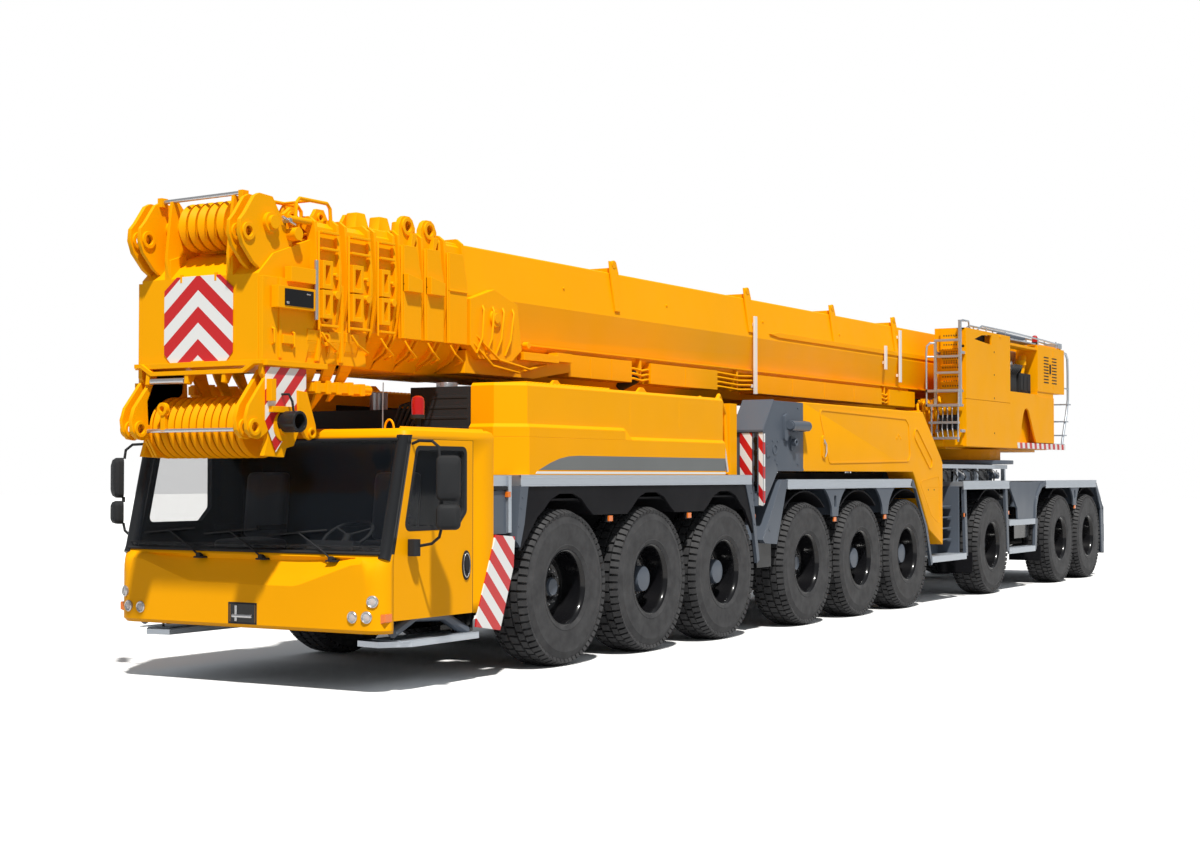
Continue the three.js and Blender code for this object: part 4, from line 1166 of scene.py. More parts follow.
def add_cover():
    cover = Work(YELLOW)
    inset = 0.032

    def plan(by, rear):
        return [(0.98, -0.90 + by), (1.25 - by * 0.4, -0.90 + by), (SIDE - by, -0.66 + by * 0.4),
                (SIDE - by, rear), (0.98, rear)]

    cover.upward(COVER_LOW, COVER_TOP - 0.03, plan(inset, 3.30))
    cover.loft([(x, d, COVER_TOP - 0.03) for x, d in plan(inset, 3.30)],
               [(x, d, COVER_TOP) for x, d in plan(inset + 0.03, 3.30)])
    for low, high, rear in ((COVER_LOW, 2.150, 3.301), (2.150, 2.240, 1.10)):
        cover.upward(low, high, plan(0, rear))
    cover.loft([(x, d, 2.240) for x, d in plan(0, 1.10)], [(x, d, 2.275)
                                                           for x, d in plan(inset + 0.002, 1.10)])
    cover.loft([(1.2, 1.10, 2.15), (SIDE, 1.10, 2.15), (SIDE, 1.24, 2.15), (1.2, 1.24, 2.15)],
               [(1.2, 1.10, 2.275), (SIDE - inset, 1.10, 2.275), (SIDE - inset, 1.13, 2.275),
                (1.2, 1.13, 2.275)])
    cover.loft([(1.2, 1.24, 2.15), (SIDE, 1.24, 2.15), (SIDE, 3.301, 2.15), (1.2, 3.301, 2.15)],
               [(1.2, 1.22, 2.185), (SIDE - inset, 1.22, 2.185), (SIDE - inset, 3.301, 2.185),
                (1.2, 3.301, 2.185)])
    for d in (1.24, 2.28):
        cover.box(1.10, SIDE - inset + 0.0015, d, d + 0.006, 2.28, COVER_TOP - 0.05)
    for d in (0.2, 1.9):
        cover.across(1.10, 1.13, [(d, COVER_TOP - 0.02), (d + 0.34, COVER_TOP - 0.02),
                                  (d + 0.20, COVER_TOP + 0.075), (d + 0.14, COVER_TOP + 0.075)])
    cover.mirror()
    cover.box(-0.985, 0.985, -0.90, 3.30, COVER_LOW, COVER_LOW + 0.04)
    cover.box(-0.985, 0.985, 3.22, 3.30, COVER_LOW, 2.50)
    cover.done("cover_panels", "chassis", 0.006, ["engine_cover"])
    louvres = Work(TRIM)
    louvres.box(1.02, 1.36, -0.55, 1.05, COVER_TOP - 0.01, COVER_TOP + 0.004)
    louvres.use(YELLOW)
    for i in range(24):
        d = -0.52 + i * 0.065
        louvres.across(1.03, 1.35, [(d, COVER_TOP), (d + 0.045, COVER_TOP + 0.022),
                                    (d + 0.052, COVER_TOP + 0.016), (d + 0.010, COVER_TOP - 0.004)])
    louvres.use(TRIM).box(0.974, 0.9795, -0.40, 2.9, 2.0, 2.5)
    louvres.mirror().done("cover_louvres", "chassis", 0.001)
    band = Work(STRIPE_GREY)
    band.across(SIDE, SIDE + 0.002, [(-0.50, 1.848), (3.295, 1.848), (3.295, 1.985), (0.20, 1.985),
                                     (0.02, 1.978), (-0.14, 1.955), (-0.30, 1.915), (-0.42, 1.875)])
    band.use(WHITE).across(SIDE, SIDE + 0.002, [(-0.56, 1.812), (3.295, 1.812), (3.295, 1.834),
                                                (-0.53, 1.834)])
    band.mirror().done("cover_bands", "chassis", 0)
    fittings = Work(TRIM)
    fittings.box(0.30, 0.97, -0.88, -0.62, 1.86, 2.62).box(-0.95, 0.20, -0.86, -0.70, 1.86, 2.42)
    for i in range(7):
        fittings.box(0.32, 0.95, -0.885, -0.60, 1.94 + i * 0.095, 1.965 + i * 0.095)
    fittings.use(STEEL).bar((0.62, -0.74, 2.50), (0.62, -0.74, 2.665), 0.10, 24).bar((-0.6, -0.2, 2.2),
            (-0.6, -0.2, 2.62), 0.09, 24)
    fittings.use(HOSE)
    for i in range(5):
        fittings.tube([(0.1 + i * 0.05, -0.90, 1.9), (0.12 + i * 0.05, -0.94, 2.2),
                       (0.2 + i * 0.06, -0.9, 2.45), (0.32, -0.8, 2.50)], 0.016, 8)
    fittings.done("intake_boxes", "chassis", 0.006)


add_cover()


# %% Front and middle decks with their skirts
def arc_points(d, z, radius, start, stop, steps):
    return [(d + radius * math.cos(math.radians(start + (stop - start) * i / steps)),
             z + radius * math.sin(math.radians(start + (stop - start) * i / steps)))
            for i in range(steps + 1)]


def arched_skirt():
    """Outline of the black skirt: flat tips between the wheels, an arch over each of the first three."""
    arch = ((-0.50, 1.415), (-0.40, 1.475), (-0.27, 1.575), (-0.12, 1.625), (0.12, 1.625), (0.27, 1.575),
            (0.40, 1.475), (0.50, 1.415))
    outline = [(3.90, 1.705), (-0.66, 1.705), (-0.82, 1.12), (-0.79, 1.11)]
    for axle in AXLES[:3]:
        outline += [(axle + d, z) for d, z in arch]
    return outline + [(4.02, 1.14), (4.05, 1.14)]


def side_marker(work, x, d, z):
    work.use(ORANGE_LAMP).box(x - 0.02, x + 0.022, d - 0.038, d + 0.038, z - 0.028, z + 0.028)
    work.use(TRIM).box(x - 0.024, x + 0.006, d - 0.046, d + 0.046, z - 0.036, z + 0.036)


def pointed_skirt(work, d, top, slot=False):
    """A grey plate between two wheels, its edges curved like the arches beside it."""
    tip = 1.290
    right = [(d + 0.09 + 0.25 * (i / 6) ** 2.2, tip + (top - tip) * i / 6) for i in range(7)]
    left = [(2 * d - a, b) for a, b in reversed(right)]
    if slot:
        work.hollow_across(SIDE - 0.035, SIDE - 0.005, right + left, rounded(
            [(d - 0.035, 1.40), (d + 0.035, 1.40), (d + 0.035, 1.55), (d - 0.035, 1.55)], 0.02, 3))
    else:
        work.across(SIDE - 0.035, SIDE - 0.005, right + left)
    work.box(1.10, SIDE - 0.034, d - 0.012, d + 0.012, tip + 0.02, top)


def add_decks():
    deck = Work(ALUMINIUM)
    deck.box(-SIDE, SIDE, -0.80, 3.96, 1.70, 1.80)
    deck.box(SIDE - 0.02, SIDE + 0.003, -0.80, 3.96, 1.775, 1.803).box(SIDE - 0.02, SIDE + 0.003, -0.80,
            3.96, 1.697, 1.712)
    deck.box(-SIDE - 0.003, 0.02 - SIDE, -0.80, 3.96, 1.775, 1.803).box(-SIDE - 0.003, 0.02 - SIDE, -0.80,
            3.96, 1.697, 1.712)
    deck.box(-SIDE, SIDE, 4.92, 8.93, 1.64, 1.75)
    for x in (-SIDE - 0.003, SIDE - 0.02):
        deck.box(x, x + 0.023, 4.92, 8.92, 1.728, 1.753).box(x, x + 0.023, 4.92, 8.92, 1.637, 1.652)
    # The second block, between the outrigger beams under the middle deck, stands for chassis structure; its
    # near-black colour is painted shade for the shadow in that gap.
    deck.use(SKIRT_BLACK_AND_SHADE).box(-0.50, 0.50, -0.80, 8.93, 1.6203, 1.75).box(-1.06, 1.06, 4.96, 8.90, 1.74,
            1.832)
    deck.done("deck_plates", "chassis", 0.003, ["deck_front"])
    tread = Work(ALUMINIUM)
    for d0, d1, z in ((3.36, 3.94, 1.80), (4.95, 5.30, 1.75)):
        for i in range(int((d1 - d0) / 0.05)):
            for x in (-1.2, -0.6, 0.0, 0.6, 1.2):
                tread.box(x - 0.26, x + 0.26, d0 + i * 0.05, d0 + i * 0.05 + 0.018, z - 0.002, z + 0.005)
    tread.done("deck_treads", "chassis", 0)
    skirt = Work(SKIRT_BLACK_AND_SHADE)
    skirt.across(SIDE - 0.045, SIDE - 0.012, arched_skirt())
    for axle in AXLES[:3]:
        under = [(-0.72, 1.41), (-0.50, 1.515), (-0.25, 1.56), (0.25, 1.56), (0.50, 1.515), (0.72, 1.41)]
        skirt.across(0.56, SIDE - 0.05, [(axle + d, z) for d, z in under] + [(axle + d, z + 0.02)
                for d, z in under[::-1]])
    skirt.mirror().done("arched_skirts", "chassis", 0.003)
    grey = Work(GREY)
    grey.across(1.05, SIDE, [(-0.80, 1.705), (-0.67, 1.705), (-0.74, 1.35), (-0.81, 1.14), (-0.87, 1.20)])
    grey.across(SIDE - 0.04, SIDE, [(3.80, 1.705), (3.96, 1.705), (4.155, 0.84), (4.095, 0.80), (3.98, 1.30)])
    grey.across(1.18, SIDE, [(4.74, 1.75), (4.93, 1.75), (4.90, 1.69), (4.62, 1.00), (4.30, 1.02),
                             (4.24, 1.06)])
    grey.use(DARK).box(1.14, SIDE - 0.06, 4.20, 4.58, 0.74, 1.03).use(GREY)
    pointed_skirt(grey, (AXLES[3] + AXLES[4]) / 2, 1.645, True)
    pointed_skirt(grey, (AXLES[4] + AXLES[5]) / 2, 1.645)
    grey.use(SKIRT_BLACK_AND_SHADE)
    for axle in AXLES[3:6]:
        grey.across(0.80, SIDE - 0.05, arc_points(axle, 0.66, 0.94, 128, 52, 8) + arc_points(axle, 0.66,
                0.96, 52, 128, 8))
    # Two near-black sheets at the frame's sides are painted shade: they darken the space behind the wheels,
    # where the frame lies in shadow.
    grey.box(0.54, 0.56, 4.75, 9.40, 0.98, 1.64).box(0.54, 0.56, -0.75, 3.95, 0.98, 1.70)
    grey.use(GREY)
    grey.across(SIDE - 0.04, SIDE, [(8.86, 1.64), (8.92, 1.74), (8.985, 1.74), (9.50, 1.10), (9.72, 0.56),
                                    (9.66, 0.54), (9.43, 1.10), (9.06, 1.62)])
    grey.bar((SIDE - 0.04, 4.42, 1.18), (SIDE + 0.006, 4.42, 1.18), 0.028, 14)
    for d, z in ((3.99, 1.60), (4.02, 1.45), (4.06, 1.25), (-0.735, 1.60), (-0.755, 1.50), (-0.80, 1.34)):
        grey.bar((SIDE - 0.002, d - 0.04, z), (SIDE + 0.006, d - 0.04, z), 0.011, 8)
    grey.use(SKIRT_BLACK_AND_SHADE)
    for d, low in ((11.500, 0.34), (14.850, 0.40)):
        grey.box(0.90, 1.44, d, d + 0.014, low, 0.64).box(0.92, 1.42, d - 0.006, d, low + 0.01, low + 0.035)
    grey.mirror().done("posts_and_mudguards", "chassis", 0.005)
    marks = Work(ORANGE_LAMP)
    for d, z in ((0.825, 1.375), (2.475, 1.375), (4.03, 1.33), (6.325, 1.255), (7.975, 1.255), (8.90, 1.69)):
        side_marker(marks, SIDE - 0.03, d, z)
    marks.mirror().done("side_markers", "chassis", 0.004)


add_decks()


# %% Rear deck: wheel covers, posts, steps and the curved fender
def add_rear_deck():
    low, high = 1.64, 1.71
    rear = Work(ALUMINIUM)
    rear.box(-SIDE, SIDE, 11.00, 12.25, low, high)
    rear.box(0.95, SIDE, 12.24, 13.10, low, high).box(-SIDE, -0.95, 12.24, 13.10, low, high)
    rear.box(0.95, 1.06, 12.24, 15.01, low, high).box(-1.06, -0.95, 12.24, 15.01, low, high)
    rear.box(-SIDE, SIDE, 15.00, 18.00, low, high - 0.01)
    for x in (-SIDE - 0.003, SIDE - 0.02):
        for d0, d1 in ((11.0, 13.1), (15.0, 18.0)):
            rear.box(x, x + 0.023, d0, d1, high - 0.02, high + 0.012).box(x, x + 0.023, d0, d1, low - 0.045,
                    low + 0.008)
            rear.box(x + 0.004, x + 0.018, d0, d1, low - 0.04, high)
    rear.use(DARK).box(-0.50, 0.50, 11.0, 12.25, 1.6203, 1.65).box(-0.50, 0.50, 15.0, 18.0, 1.6203, 1.65)
    rear.done("rear_deck_plates", "chassis", 0.003, ["deck_rear"])
    grip = Work(GREY)
    for i in range(34):
        d = 15.08 + i * 0.085
        for k in range(6):
            x = -1.24 + k * 0.50 + 0.12 * (i % 2)
            grip.box(x - 0.07, x + 0.07, d, d + 0.02, high - 0.012, high - 0.005)
    grip.use(ALUMINIUM)
    for x in (-0.62, 0.60):
        grip.box(x, x + 0.02, 15.02, 17.98, high - 0.012, high + 0.002)
    grip.done("deck_grips", "chassis", 0)
    grey = Work(GREY)
    fender = [(15.01, 1.64), (15.01, 1.70), (14.76, 1.665), (14.56, 1.53), (14.44, 1.33), (14.42, 1.02),
              (14.46, 1.02), (14.50, 1.30), (14.61, 1.48), (14.79, 1.60)]
    grey.across(1.05, SIDE, fender)
    grey.across(SIDE - 0.05, SIDE - 0.02, [(13.10, 1.70), (13.55, 1.28), (13.58, 1.10), (14.44, 1.08),
                                           (14.50, 1.42), (14.70, 1.62), (15.0, 1.70)])
    for top, tip, wide in ((11.02, 11.10, 0.11), (13.02, 13.10, -0.11)):
        grey.across(SIDE - 0.05, SIDE - 0.004, [(top, 1.66), (top + wide, 1.66), (tip + wide * 0.8, 0.62),
                                                (tip, 0.62)])
    grey.across(SIDE - 0.05, SIDE - 0.004, [(14.44, 1.10), (14.56, 1.10), (14.48, 0.60), (14.40, 0.60)])
    grey.use(SKIRT_BLACK_AND_SHADE)
    for d in (AXLES[6], AXLES[7], AXLES[8]):
        grey.across(0.80, SIDE - 0.05, arc_points(d, 0.66, 0.93, 125, 55, 8) + arc_points(d, 0.66, 0.95, 55,
                125, 8))
    grey.use(GREY)
    pointed_skirt(grey, (AXLES[7] + AXLES[8]) / 2, 1.645, True)
    rear_post = [(17.94, 1.64), (17.99, 1.695), (18.42, 1.26), (18.47, 1.24), (18.47, 0.40), (18.44, 0.40),
                 (18.42, 1.20), (18.36, 1.24)]
    grey.across(1.05, SIDE, rear_post).across(SIDE - 0.03, SIDE - 0.004,
                                              [(17.94, 1.64), (18.42, 1.24), (18.45, 0.42), (18.34, 0.42),
                                               (18.28, 1.20)])
    grey.use(RIM_BLACK).box(1.0, 1.40, 13.60, 14.35, 0.80, 1.30)
    grey.use(ALUMINIUM)
    for d0, d1, z in ((9.70, 11.12, 0.62), (13.10, 14.42, 0.62), (13.10, 14.42, 1.06)):
        grey.box(SIDE - 0.035, SIDE, d0, d1, z - 0.045, z + 0.045).box(1.18, SIDE - 0.03, d0, d1, z + 0.015,
                z + 0.04)
        for i in range(int((d1 - d0) / 0.06)):
            grey.box(1.20, SIDE - 0.04, d0 + 0.02 + i * 0.06, d0 + 0.04 + i * 0.06, z + 0.04, z + 0.048)
    grey.use(GREY)
    for z in (0.86, 1.02, 1.18, 1.34):
        grey.box(1.05, 1.32, 10.30, 10.95, z, z + 0.022)
    grey.box(1.06, 1.10, 10.26, 11.00, 0.62, 1.62).box(1.05, 1.42, 10.97, 11.01, 0.62, 1.64)
    grey.mirror().done("rear_skirts_and_steps", "chassis", 0.004)
    marks = Work(ORANGE_LAMP)
    for d, z in ((11.08, 1.22), (13.06, 1.22), (14.96, 1.66), (16.675, 1.26), (18.40, 1.22)):
        side_marker(marks, SIDE - 0.026, d, z)
    marks.mirror().done("rear_side_markers", "chassis", 0.004)
    back = Work(TRIM)
    back.box(1.02, 1.42, 18.476, 18.52, 0.62, 0.80).box(-1.42, -1.02, 18.476, 18.52, 0.62, 0.80)
    for side in (-1, 1):
        for i, material in enumerate((RED_LAMP, RED_LAMP, ORANGE_LAMP, LAMP_GLASS)):
            back.use(material).bar((side * (1.08 + i * 0.095), 18.515, 0.71),
                                   (side * (1.08 + i * 0.095), 18.535, 0.71), 0.038, 20)
    back.use(FRONT_STRIPES).box(-1.42, -0.72, 18.630, 18.636, 0.62, 0.90).box(0.72, 1.42, 18.630, 18.636,
            0.62, 0.90)
    back.use(GREY).box(-1.45, 1.45, 18.50, 18.63, 0.60, 0.92).box(-0.16, 0.16, 18.62, 18.80, 0.78, 1.02)
    back.use(STEEL).tube([(0.95, 18.60, 0.80), (0.95, 18.80, 0.80), (0.95, 18.85, 0.86),
                          (0.95, 18.83, 0.92)], 0.02, 10)
    back.done("rear_bar_fittings", "chassis", 0.004)


add_rear_deck()
print("decks and skirts stand above", len(AXLES), "axles")

# %% [markdown]
# ## Outriggers
# The beam keeps its CAD shape, with the sleeve its head slides in. What is added lies on its faces: a raised
# panel line, a rounded slot along the rear diagonal, a hand latch, and on the grey head a locking pin in its
# bracket and the striped plates that face forwards. Both sides come from one function.

# %% Outrigger details for one side
def capsule(start, end, radius):
    """Outline of a slot between two centres."""
    steps = 8
    angle = math.atan2(end[1] - start[1], end[0] - start[0])
    outline = []
    for centre, turn in ((end, angle - math.pi / 2), (start, angle + math.pi / 2)):
        outline += [(centre[0] + radius * math.cos(turn + math.pi * i / steps),
                     centre[1] + radius * math.sin(turn + math.pi * i / steps)) for i in range(steps + 1)]
    return outline


def shrunk(outline, by):
    """The outline scaled towards its middle by a distance at its widest."""
    d = sum(p[0] for p in outline) / len(outline)
    z = sum(p[1] for p in outline) / len(outline)
    wide, high = max(abs(p[0] - d) for p in outline), max(abs(p[1] - z) for p in outline)
    return [(d + (a - d) * (1 - by / wide), z + (b - z) * (1 - by / high)) for a, b in outline]


BEAM_PANEL = [(5.80, 2.615), (8.70, 2.575), (8.81, 2.50), (8.86, 2.06), (8.79, 1.985), (6.12, 1.945)]


def add_outrigger(side):
    beam = Work(YELLOW)
    face = SIDE - 0.001
    panel = rounded(BEAM_PANEL, 0.07)
    beam.hollow_across(face, face + 0.008, panel, shrunk(panel, 0.020))
    slot = capsule((9.10, 2.36), (9.62, 1.98), 0.085)
    beam.hollow_across(face, face + 0.010, slot, capsule((9.10, 2.36), (9.62, 1.98), 0.068))
    foot = rounded([(9.20, 1.72), (9.98, 1.80), (9.99, 1.10), (9.66, 1.24)], 0.05)
    beam.hollow_across(face, face + 0.004, foot, shrunk(foot, 0.015))
    latch = rounded([(5.90, 2.02), (5.99, 2.00), (6.00, 2.24), (5.95, 2.30), (5.89, 2.27)], 0.03)
    beam.across(face, face + 0.018, latch)
    beam.use(STEEL).bar((face, 5.945, 2.20), (face + 0.03, 5.945, 2.20), 0.018, 12)
    beam.tube([(face + 0.02, 5.93, 2.24), (face + 0.045, 5.945, 2.18), (face + 0.045, 5.95, 2.08),
               (face + 0.02, 5.96, 2.03)], 0.009, 8)
    beam.use(YELLOW)
    for d, z in ((8.45, 2.34), (8.52, 2.30), (8.38, 2.30)):
        beam.bar((face, d, z), (face + 0.006, d, z), 0.018, 12)
    for d, z in ((9.55, 1.60), (9.78, 1.60)):
        beam.use(TRIM).bar((face, d, z), (face + 0.003, d, z), 0.012, 10)
    beam.use(YELLOW).box(1.468, SIDE - 0.0005, 9.49, 10.115, 1.495, 1.625).box(1.08, 1.10, 5.50, 9.20, 2.62,
            2.66).box(1.12, 1.46, 9.30, 9.34, 2.665, 2.70)
    beam.upward(1.64, 1.70, circle(1.28, 9.86, 0.20, 24)).upward(1.69, 1.74, circle(1.28, 9.86, 0.12, 24))
    head = Work(GREY)
    head.bar((1.555, 4.86, 2.385), (1.555, 5.34, 2.385), 0.060, 24)
    head.bar((1.555, 4.84, 2.385), (1.555, 4.87, 2.385), 0.046, 20)
    head.box(1.485, 1.56, 4.98, 5.02, 2.32, 2.45).box(1.485, 1.56, 5.24, 5.28, 2.32, 2.45)
    bracket = [(4.78, 2.22), (4.85, 2.20), (4.90, 2.30), (4.90, 2.50), (4.86, 2.53), (4.78, 2.50)]
    head.across(1.488, 1.520, rounded(bracket, 0.02, 3))
    head.across(1.488, 1.508, rounded([(4.97, 2.26), (5.09, 2.26), (5.10, 2.18), (5.05, 2.08),
                                       (4.99, 2.10)], 0.025, 3))
    head.hollow_across(1.505, 1.560, circle(5.025, 2.19, 0.046), circle(5.025, 2.19, 0.024))
    head.across(1.488, 1.500, rounded([(4.33, 2.00), (4.43, 2.03), (4.43, 2.16), (4.33, 2.14)], 0.02, 3))
    head.hollow_across(1.488, 1.498, circle(4.56, 2.10, 0.060), circle(4.56, 2.10, 0.048))
    for d, z in ((4.50, 2.20), (4.63, 2.20), (4.57, 1.98), (4.62, 1.93), (5.20, 2.60), (5.20, 1.93)):
        head.bar((1.488, d, z), (1.498, d, z), 0.013, 10)
    head.across(1.487, 1.493, [(4.70, 1.855), (5.365, 1.855), (5.365, 1.880), (4.71, 1.880)])
    hood = [(4.232, 2.325), (4.232, 2.300), (4.262, 2.290), (4.535, 2.655), (4.520, 2.684)]
    head.across(1.095, 1.497, hood)
    head.box(1.36, 1.378, 4.243, 4.262, 1.52, 2.29).box(1.418, 1.432, 4.243, 4.262, 1.60, 2.29)
    head.use(RIM_BLACK).box(1.378, 1.418, 4.246, 4.261, 1.62, 2.24)
    for z in (1.68, 1.86, 2.04, 2.18):
        head.box(1.375, 1.421, 4.236, 4.25, z, z + 0.05)
    striped = Work(FRONT_STRIPES)
    striped.along(4.246, 4.252, [(1.195, 2.29), (1.195, 1.80), (1.34, 1.70), (1.35, 1.76), (1.35, 2.29)])
    striped.along(4.246, 4.252, [(1.435, 2.29), (1.435, 1.46), (1.488, 1.45), (1.488, 2.29)])
    striped.across(1.490, 1.4925, [(4.262, 2.28), (4.262, 1.455), (4.30, 1.49), (4.30, 2.28)])
    for work in (beam, head, striped):
        if side == "right":
            work.flip_side()
    beam.done(f"beam_details_{side}", f"outrigger_beam_{side}", 0.003)
    head.done(f"head_details_{side}", f"outrigger_head_{side}", 0.004)
    striped.done(f"striped_plates_{side}", f"outrigger_head_{side}", 0)


def add_jack(side):
    """A tube and a rod that end below the sloping hood, and the foot's small plate."""
    x, d, _ = middle(f"jack_tube_{side}")
    d -= FIRST_AXLE
    tube = Work(STEEL)
    tube.turned([(0.0905, -0.355), (0.130, -0.355), (0.130, 0.355), (0.118, 0.365), (0.0905, 0.365)],
                (x, d, 2.005), (0, 0, 1), 32)
    tube.use(GREY).turned([(0.1295, -0.355), (0.1302, -0.355), (0.1302, -0.30), (0.1295, -0.30)],
                          (x, d, 2.005), (0, 0, 1), 32)
    tube.done(f"jack_sleeve_{side}", f"jack_tube_{side}", 0, [f"jack_tube_{side}"])
    foot = Work(STEEL)
    foot.bar((x, d, 1.60), (x, d, 2.35), 0.0895, 32)
    foot.use(GREY).upward(1.570, 1.618, [(x + a, d + b) for a, b in ((-0.125, -0.09), (-0.09, -0.125),
            (0.09, -0.125), (0.125, -0.09), (0.125, 0.09), (0.09, 0.125), (-0.09, 0.125), (-0.125, 0.09))])
    foot.done(f"jack_pad_{side}", f"jack_foot_{side}", 0.003, [f"jack_foot_{side}"])


for side in ("left", "right"):
    add_outrigger(side)
    add_jack(side)
print("outriggers dressed on two sides")

# %% [markdown]
# ## Chassis frame
# The frame is a box girder with flanged rails. On it stand the pedestal and plate of the slewing ring, the
# tongues that carry the outriggers, tanks, and the propeller shafts that run between the axles.

# %% Frame, pedestal, tanks and shafts
SLEW = middle("turntable")[0], 13.20


def add_frame():
    # The girder, its rails and the tongue plates take the black paint though the frame is grey: the black is
    # painted shade for the dark space under the decks.
    frame = Work(DARK)
    frame.box(-0.44, 0.44, -1.15, 18.48, 1.02, 1.60)
    for x0, x1 in ((-0.52, -0.40), (0.40, 0.52)):
        frame.box(x0, x1, -1.15, 18.48, 0.98, 1.02).box(x0, x1, -1.15, 18.48, 1.58, 1.62)
        for i in range(38):
            frame.box(x0 + 0.005, x1 - 0.005, -1.10 + i * 0.52, -1.08 + i * 0.52, 1.0, 1.6)
    frame.across(-0.48, 0.48, [(-2.70, 0.50), (-2.70, 0.72), (-1.14, 0.72), (-1.14, 1.0), (-1.0, 1.0),
                               (-0.90, 0.50)])
    for side in (-1, 1):
        plate = [(side * 0.50, 9.58)] + [(side * (1.28 + 0.18 * math.cos(a)), 9.86 + 0.18 * math.sin(a))
                                         for a in (math.radians(t)
                                                   for t in range(-90, 91, 15))] + [(side * 0.50, 10.14)]
        frame.upward(1.5005, 1.6195, plate)
    frame.use(GREY)
    frame.turned([(0.0, -0.20), (0.90, -0.20), (0.90, 0.10), (1.02, 0.19), (0.0, 0.19)], (0, SLEW[1], 1.80),
                 (0, 0, 1), 48)
    for i in range(16):
        angle = math.radians(22.5 * i)
        c, s = math.cos(angle), math.sin(angle)
        frame.upward(1.72, 1.985, [(0.88 * c - 0.012 * s, SLEW[1] + 0.88 * s + 0.012 * c),
                                   (0.88 * c + 0.012 * s, SLEW[1] + 0.88 * s - 0.012 * c),
                                   (1.12 * c + 0.012 * s, SLEW[1] + 1.12 * s - 0.012 * c),
                                   (1.12 * c - 0.012 * s, SLEW[1] + 1.12 * s + 0.012 * c)])
    frame.turned([(0.60, 1.98 - 2.01), (1.45, 1.98 - 2.01), (1.45, 2.04 - 2.01), (0.60, 2.04 - 2.01)],
                 (0, SLEW[1], 2.01), (0, 0, 1), 64)
    frame.box(-1.0, 1.0, 18.46, 18.50, 0.48, 1.10).box(-1.0, 1.0, 18.46, 18.62, 1.06, 1.10).box(-1.0, 1.0,
            18.46, 18.62, 0.48, 0.52)
    frame.box(-0.30, 0.30, 18.48, 18.78, 0.76, 1.06)
    for x in (-0.18, 0.14):
        frame.across(x, x + 0.04, [(18.76, 0.80), (18.88, 0.84), (18.88, 0.98), (18.76, 1.02)])
    frame.bar((0, 18.83, 0.86), (0, 18.83, 0.98), 0.03, 16)
    frame.done("frame_girder", "chassis", 0.006, ["chassis_frame"])
    under = Work(DARK)
    stops = list(AXLES)
    for a, b in zip(stops, stops[1:]):
        under.bar((0, a + 0.14, 0.76), (0, b - 0.14, 0.76), 0.055, 16)
        under.turned([(0.03, -0.05), (0.085, -0.05), (0.085, 0.05), (0.03, 0.05)], (0, a + 0.20, 0.76),
                     (0, 1, 0), 20)
    for d in AXLES:
        under.turned([(0.0, -0.20), (0.10, -0.19), (0.21, -0.08), (0.21, 0.08), (0.10, 0.19), (0.0, 0.20)],
                     (0, d, 0.74), (0, 1, 0), 24)
        for side in (-1, 1):
            under.bar((side * 0.46, d + 0.17, 0.80), (side * 0.46, d + 0.17, 1.56), 0.062, 18)
            under.bar((side * 0.46, d + 0.17, 0.80), (side * 0.46, d + 0.17, 1.15), 0.078, 18)
            under.bar((side * 0.30, d - 0.08, 0.82), (side * 0.38, d - 0.62, 1.02), 0.035, 12)
    under.done("suspension_and_shafts", "chassis", 0.003)
    tanks = Work(GREY)
    tanks.upward(0.98, 1.55, rounded([(0.54, 10.25), (1.02, 10.25), (1.02, 11.35), (0.54, 11.35)], 0.06))
    tanks.box(0.54, 1.04, 13.62, 14.40, 0.70, 1.50).box(0.54, 1.02, 4.32, 4.70, 0.62, 1.20)
    tanks.use(ALUMINIUM)
    for side in (-1, 1):
        tanks.box(side * 1.20 - 0.16, side * 1.20 + 0.16, 10.35, 13.40, 1.905, 1.965)
        for d in (10.42, 11.1, 12.0, 13.28):
            tanks.box(side * 1.32 - 0.03, side * 1.32 + 0.03, d, d + 0.06, 1.70, 1.92)
    tanks.use(RIM_BLACK).box(0.98, 1.30, 10.55, 11.0, 1.71, 1.89).box(0.96, 1.30, 11.25, 12.6, 1.71, 1.90)
    tanks.box(-1.30, -0.98, 10.55, 12.4, 1.71, 1.89)
    tanks.use(GREY).box(1.30, 1.34, 11.3, 11.7, 1.73, 1.88).bar((1.30, 12.85, 1.80), (1.40, 12.85, 1.80),
                                                                0.05, 18)
    tanks.bar((1.05, 13.05, 1.72), (1.05, 13.05, 1.90), 0.06, 18)
    tanks.use(HOSE)
    for i in range(7):
        d = 10.55 + 0.34 * i
        tanks.tube([(1.28, d, 1.90), (1.37, d + 0.05, 1.86), (1.38, d + 0.12 + 0.03 * (i % 3), 1.78),
                    (1.33, d + 0.24, 1.73)], 0.013, 8)
    tanks.use(STEEL)
    for d in (11.12, 12.72):
        tanks.tube([(1.33, d, 1.90), (1.40, d + 0.03, 1.84), (1.40, d + 0.16, 1.80),
                    (1.34, d + 0.20, 1.88)], 0.010, 8)
    tanks.done("tanks_and_lines", "chassis", 0.004)
    between = Work(YELLOW)
    for i, (x, z) in enumerate(((1.30, 2.50), (1.18, 2.42), (1.06, 2.48), (0.94, 2.38))):
        between.tube([(x, 3.34, 1.85), (x, 3.40, z - 0.10), (x - 0.02, 3.46 + 0.03 * i, z + 0.10),
                      (x - 0.08, 3.66, z + 0.20), (x - 0.10, 3.86, z), (x - 0.10, 3.90, 1.82)], 0.026, 8)
    between.box(0.62, 1.12, 3.50, 3.90, 1.80, 2.50).box(0.30, 0.58, 3.36, 3.96, 1.80, 2.56)
    between.box(0.80, 1.22, 3.94, 4.12, 1.80, 2.62).box(0.86, 1.18, 3.44, 3.48, 2.0, 2.60)
    for z in (1.95, 2.10, 2.25):
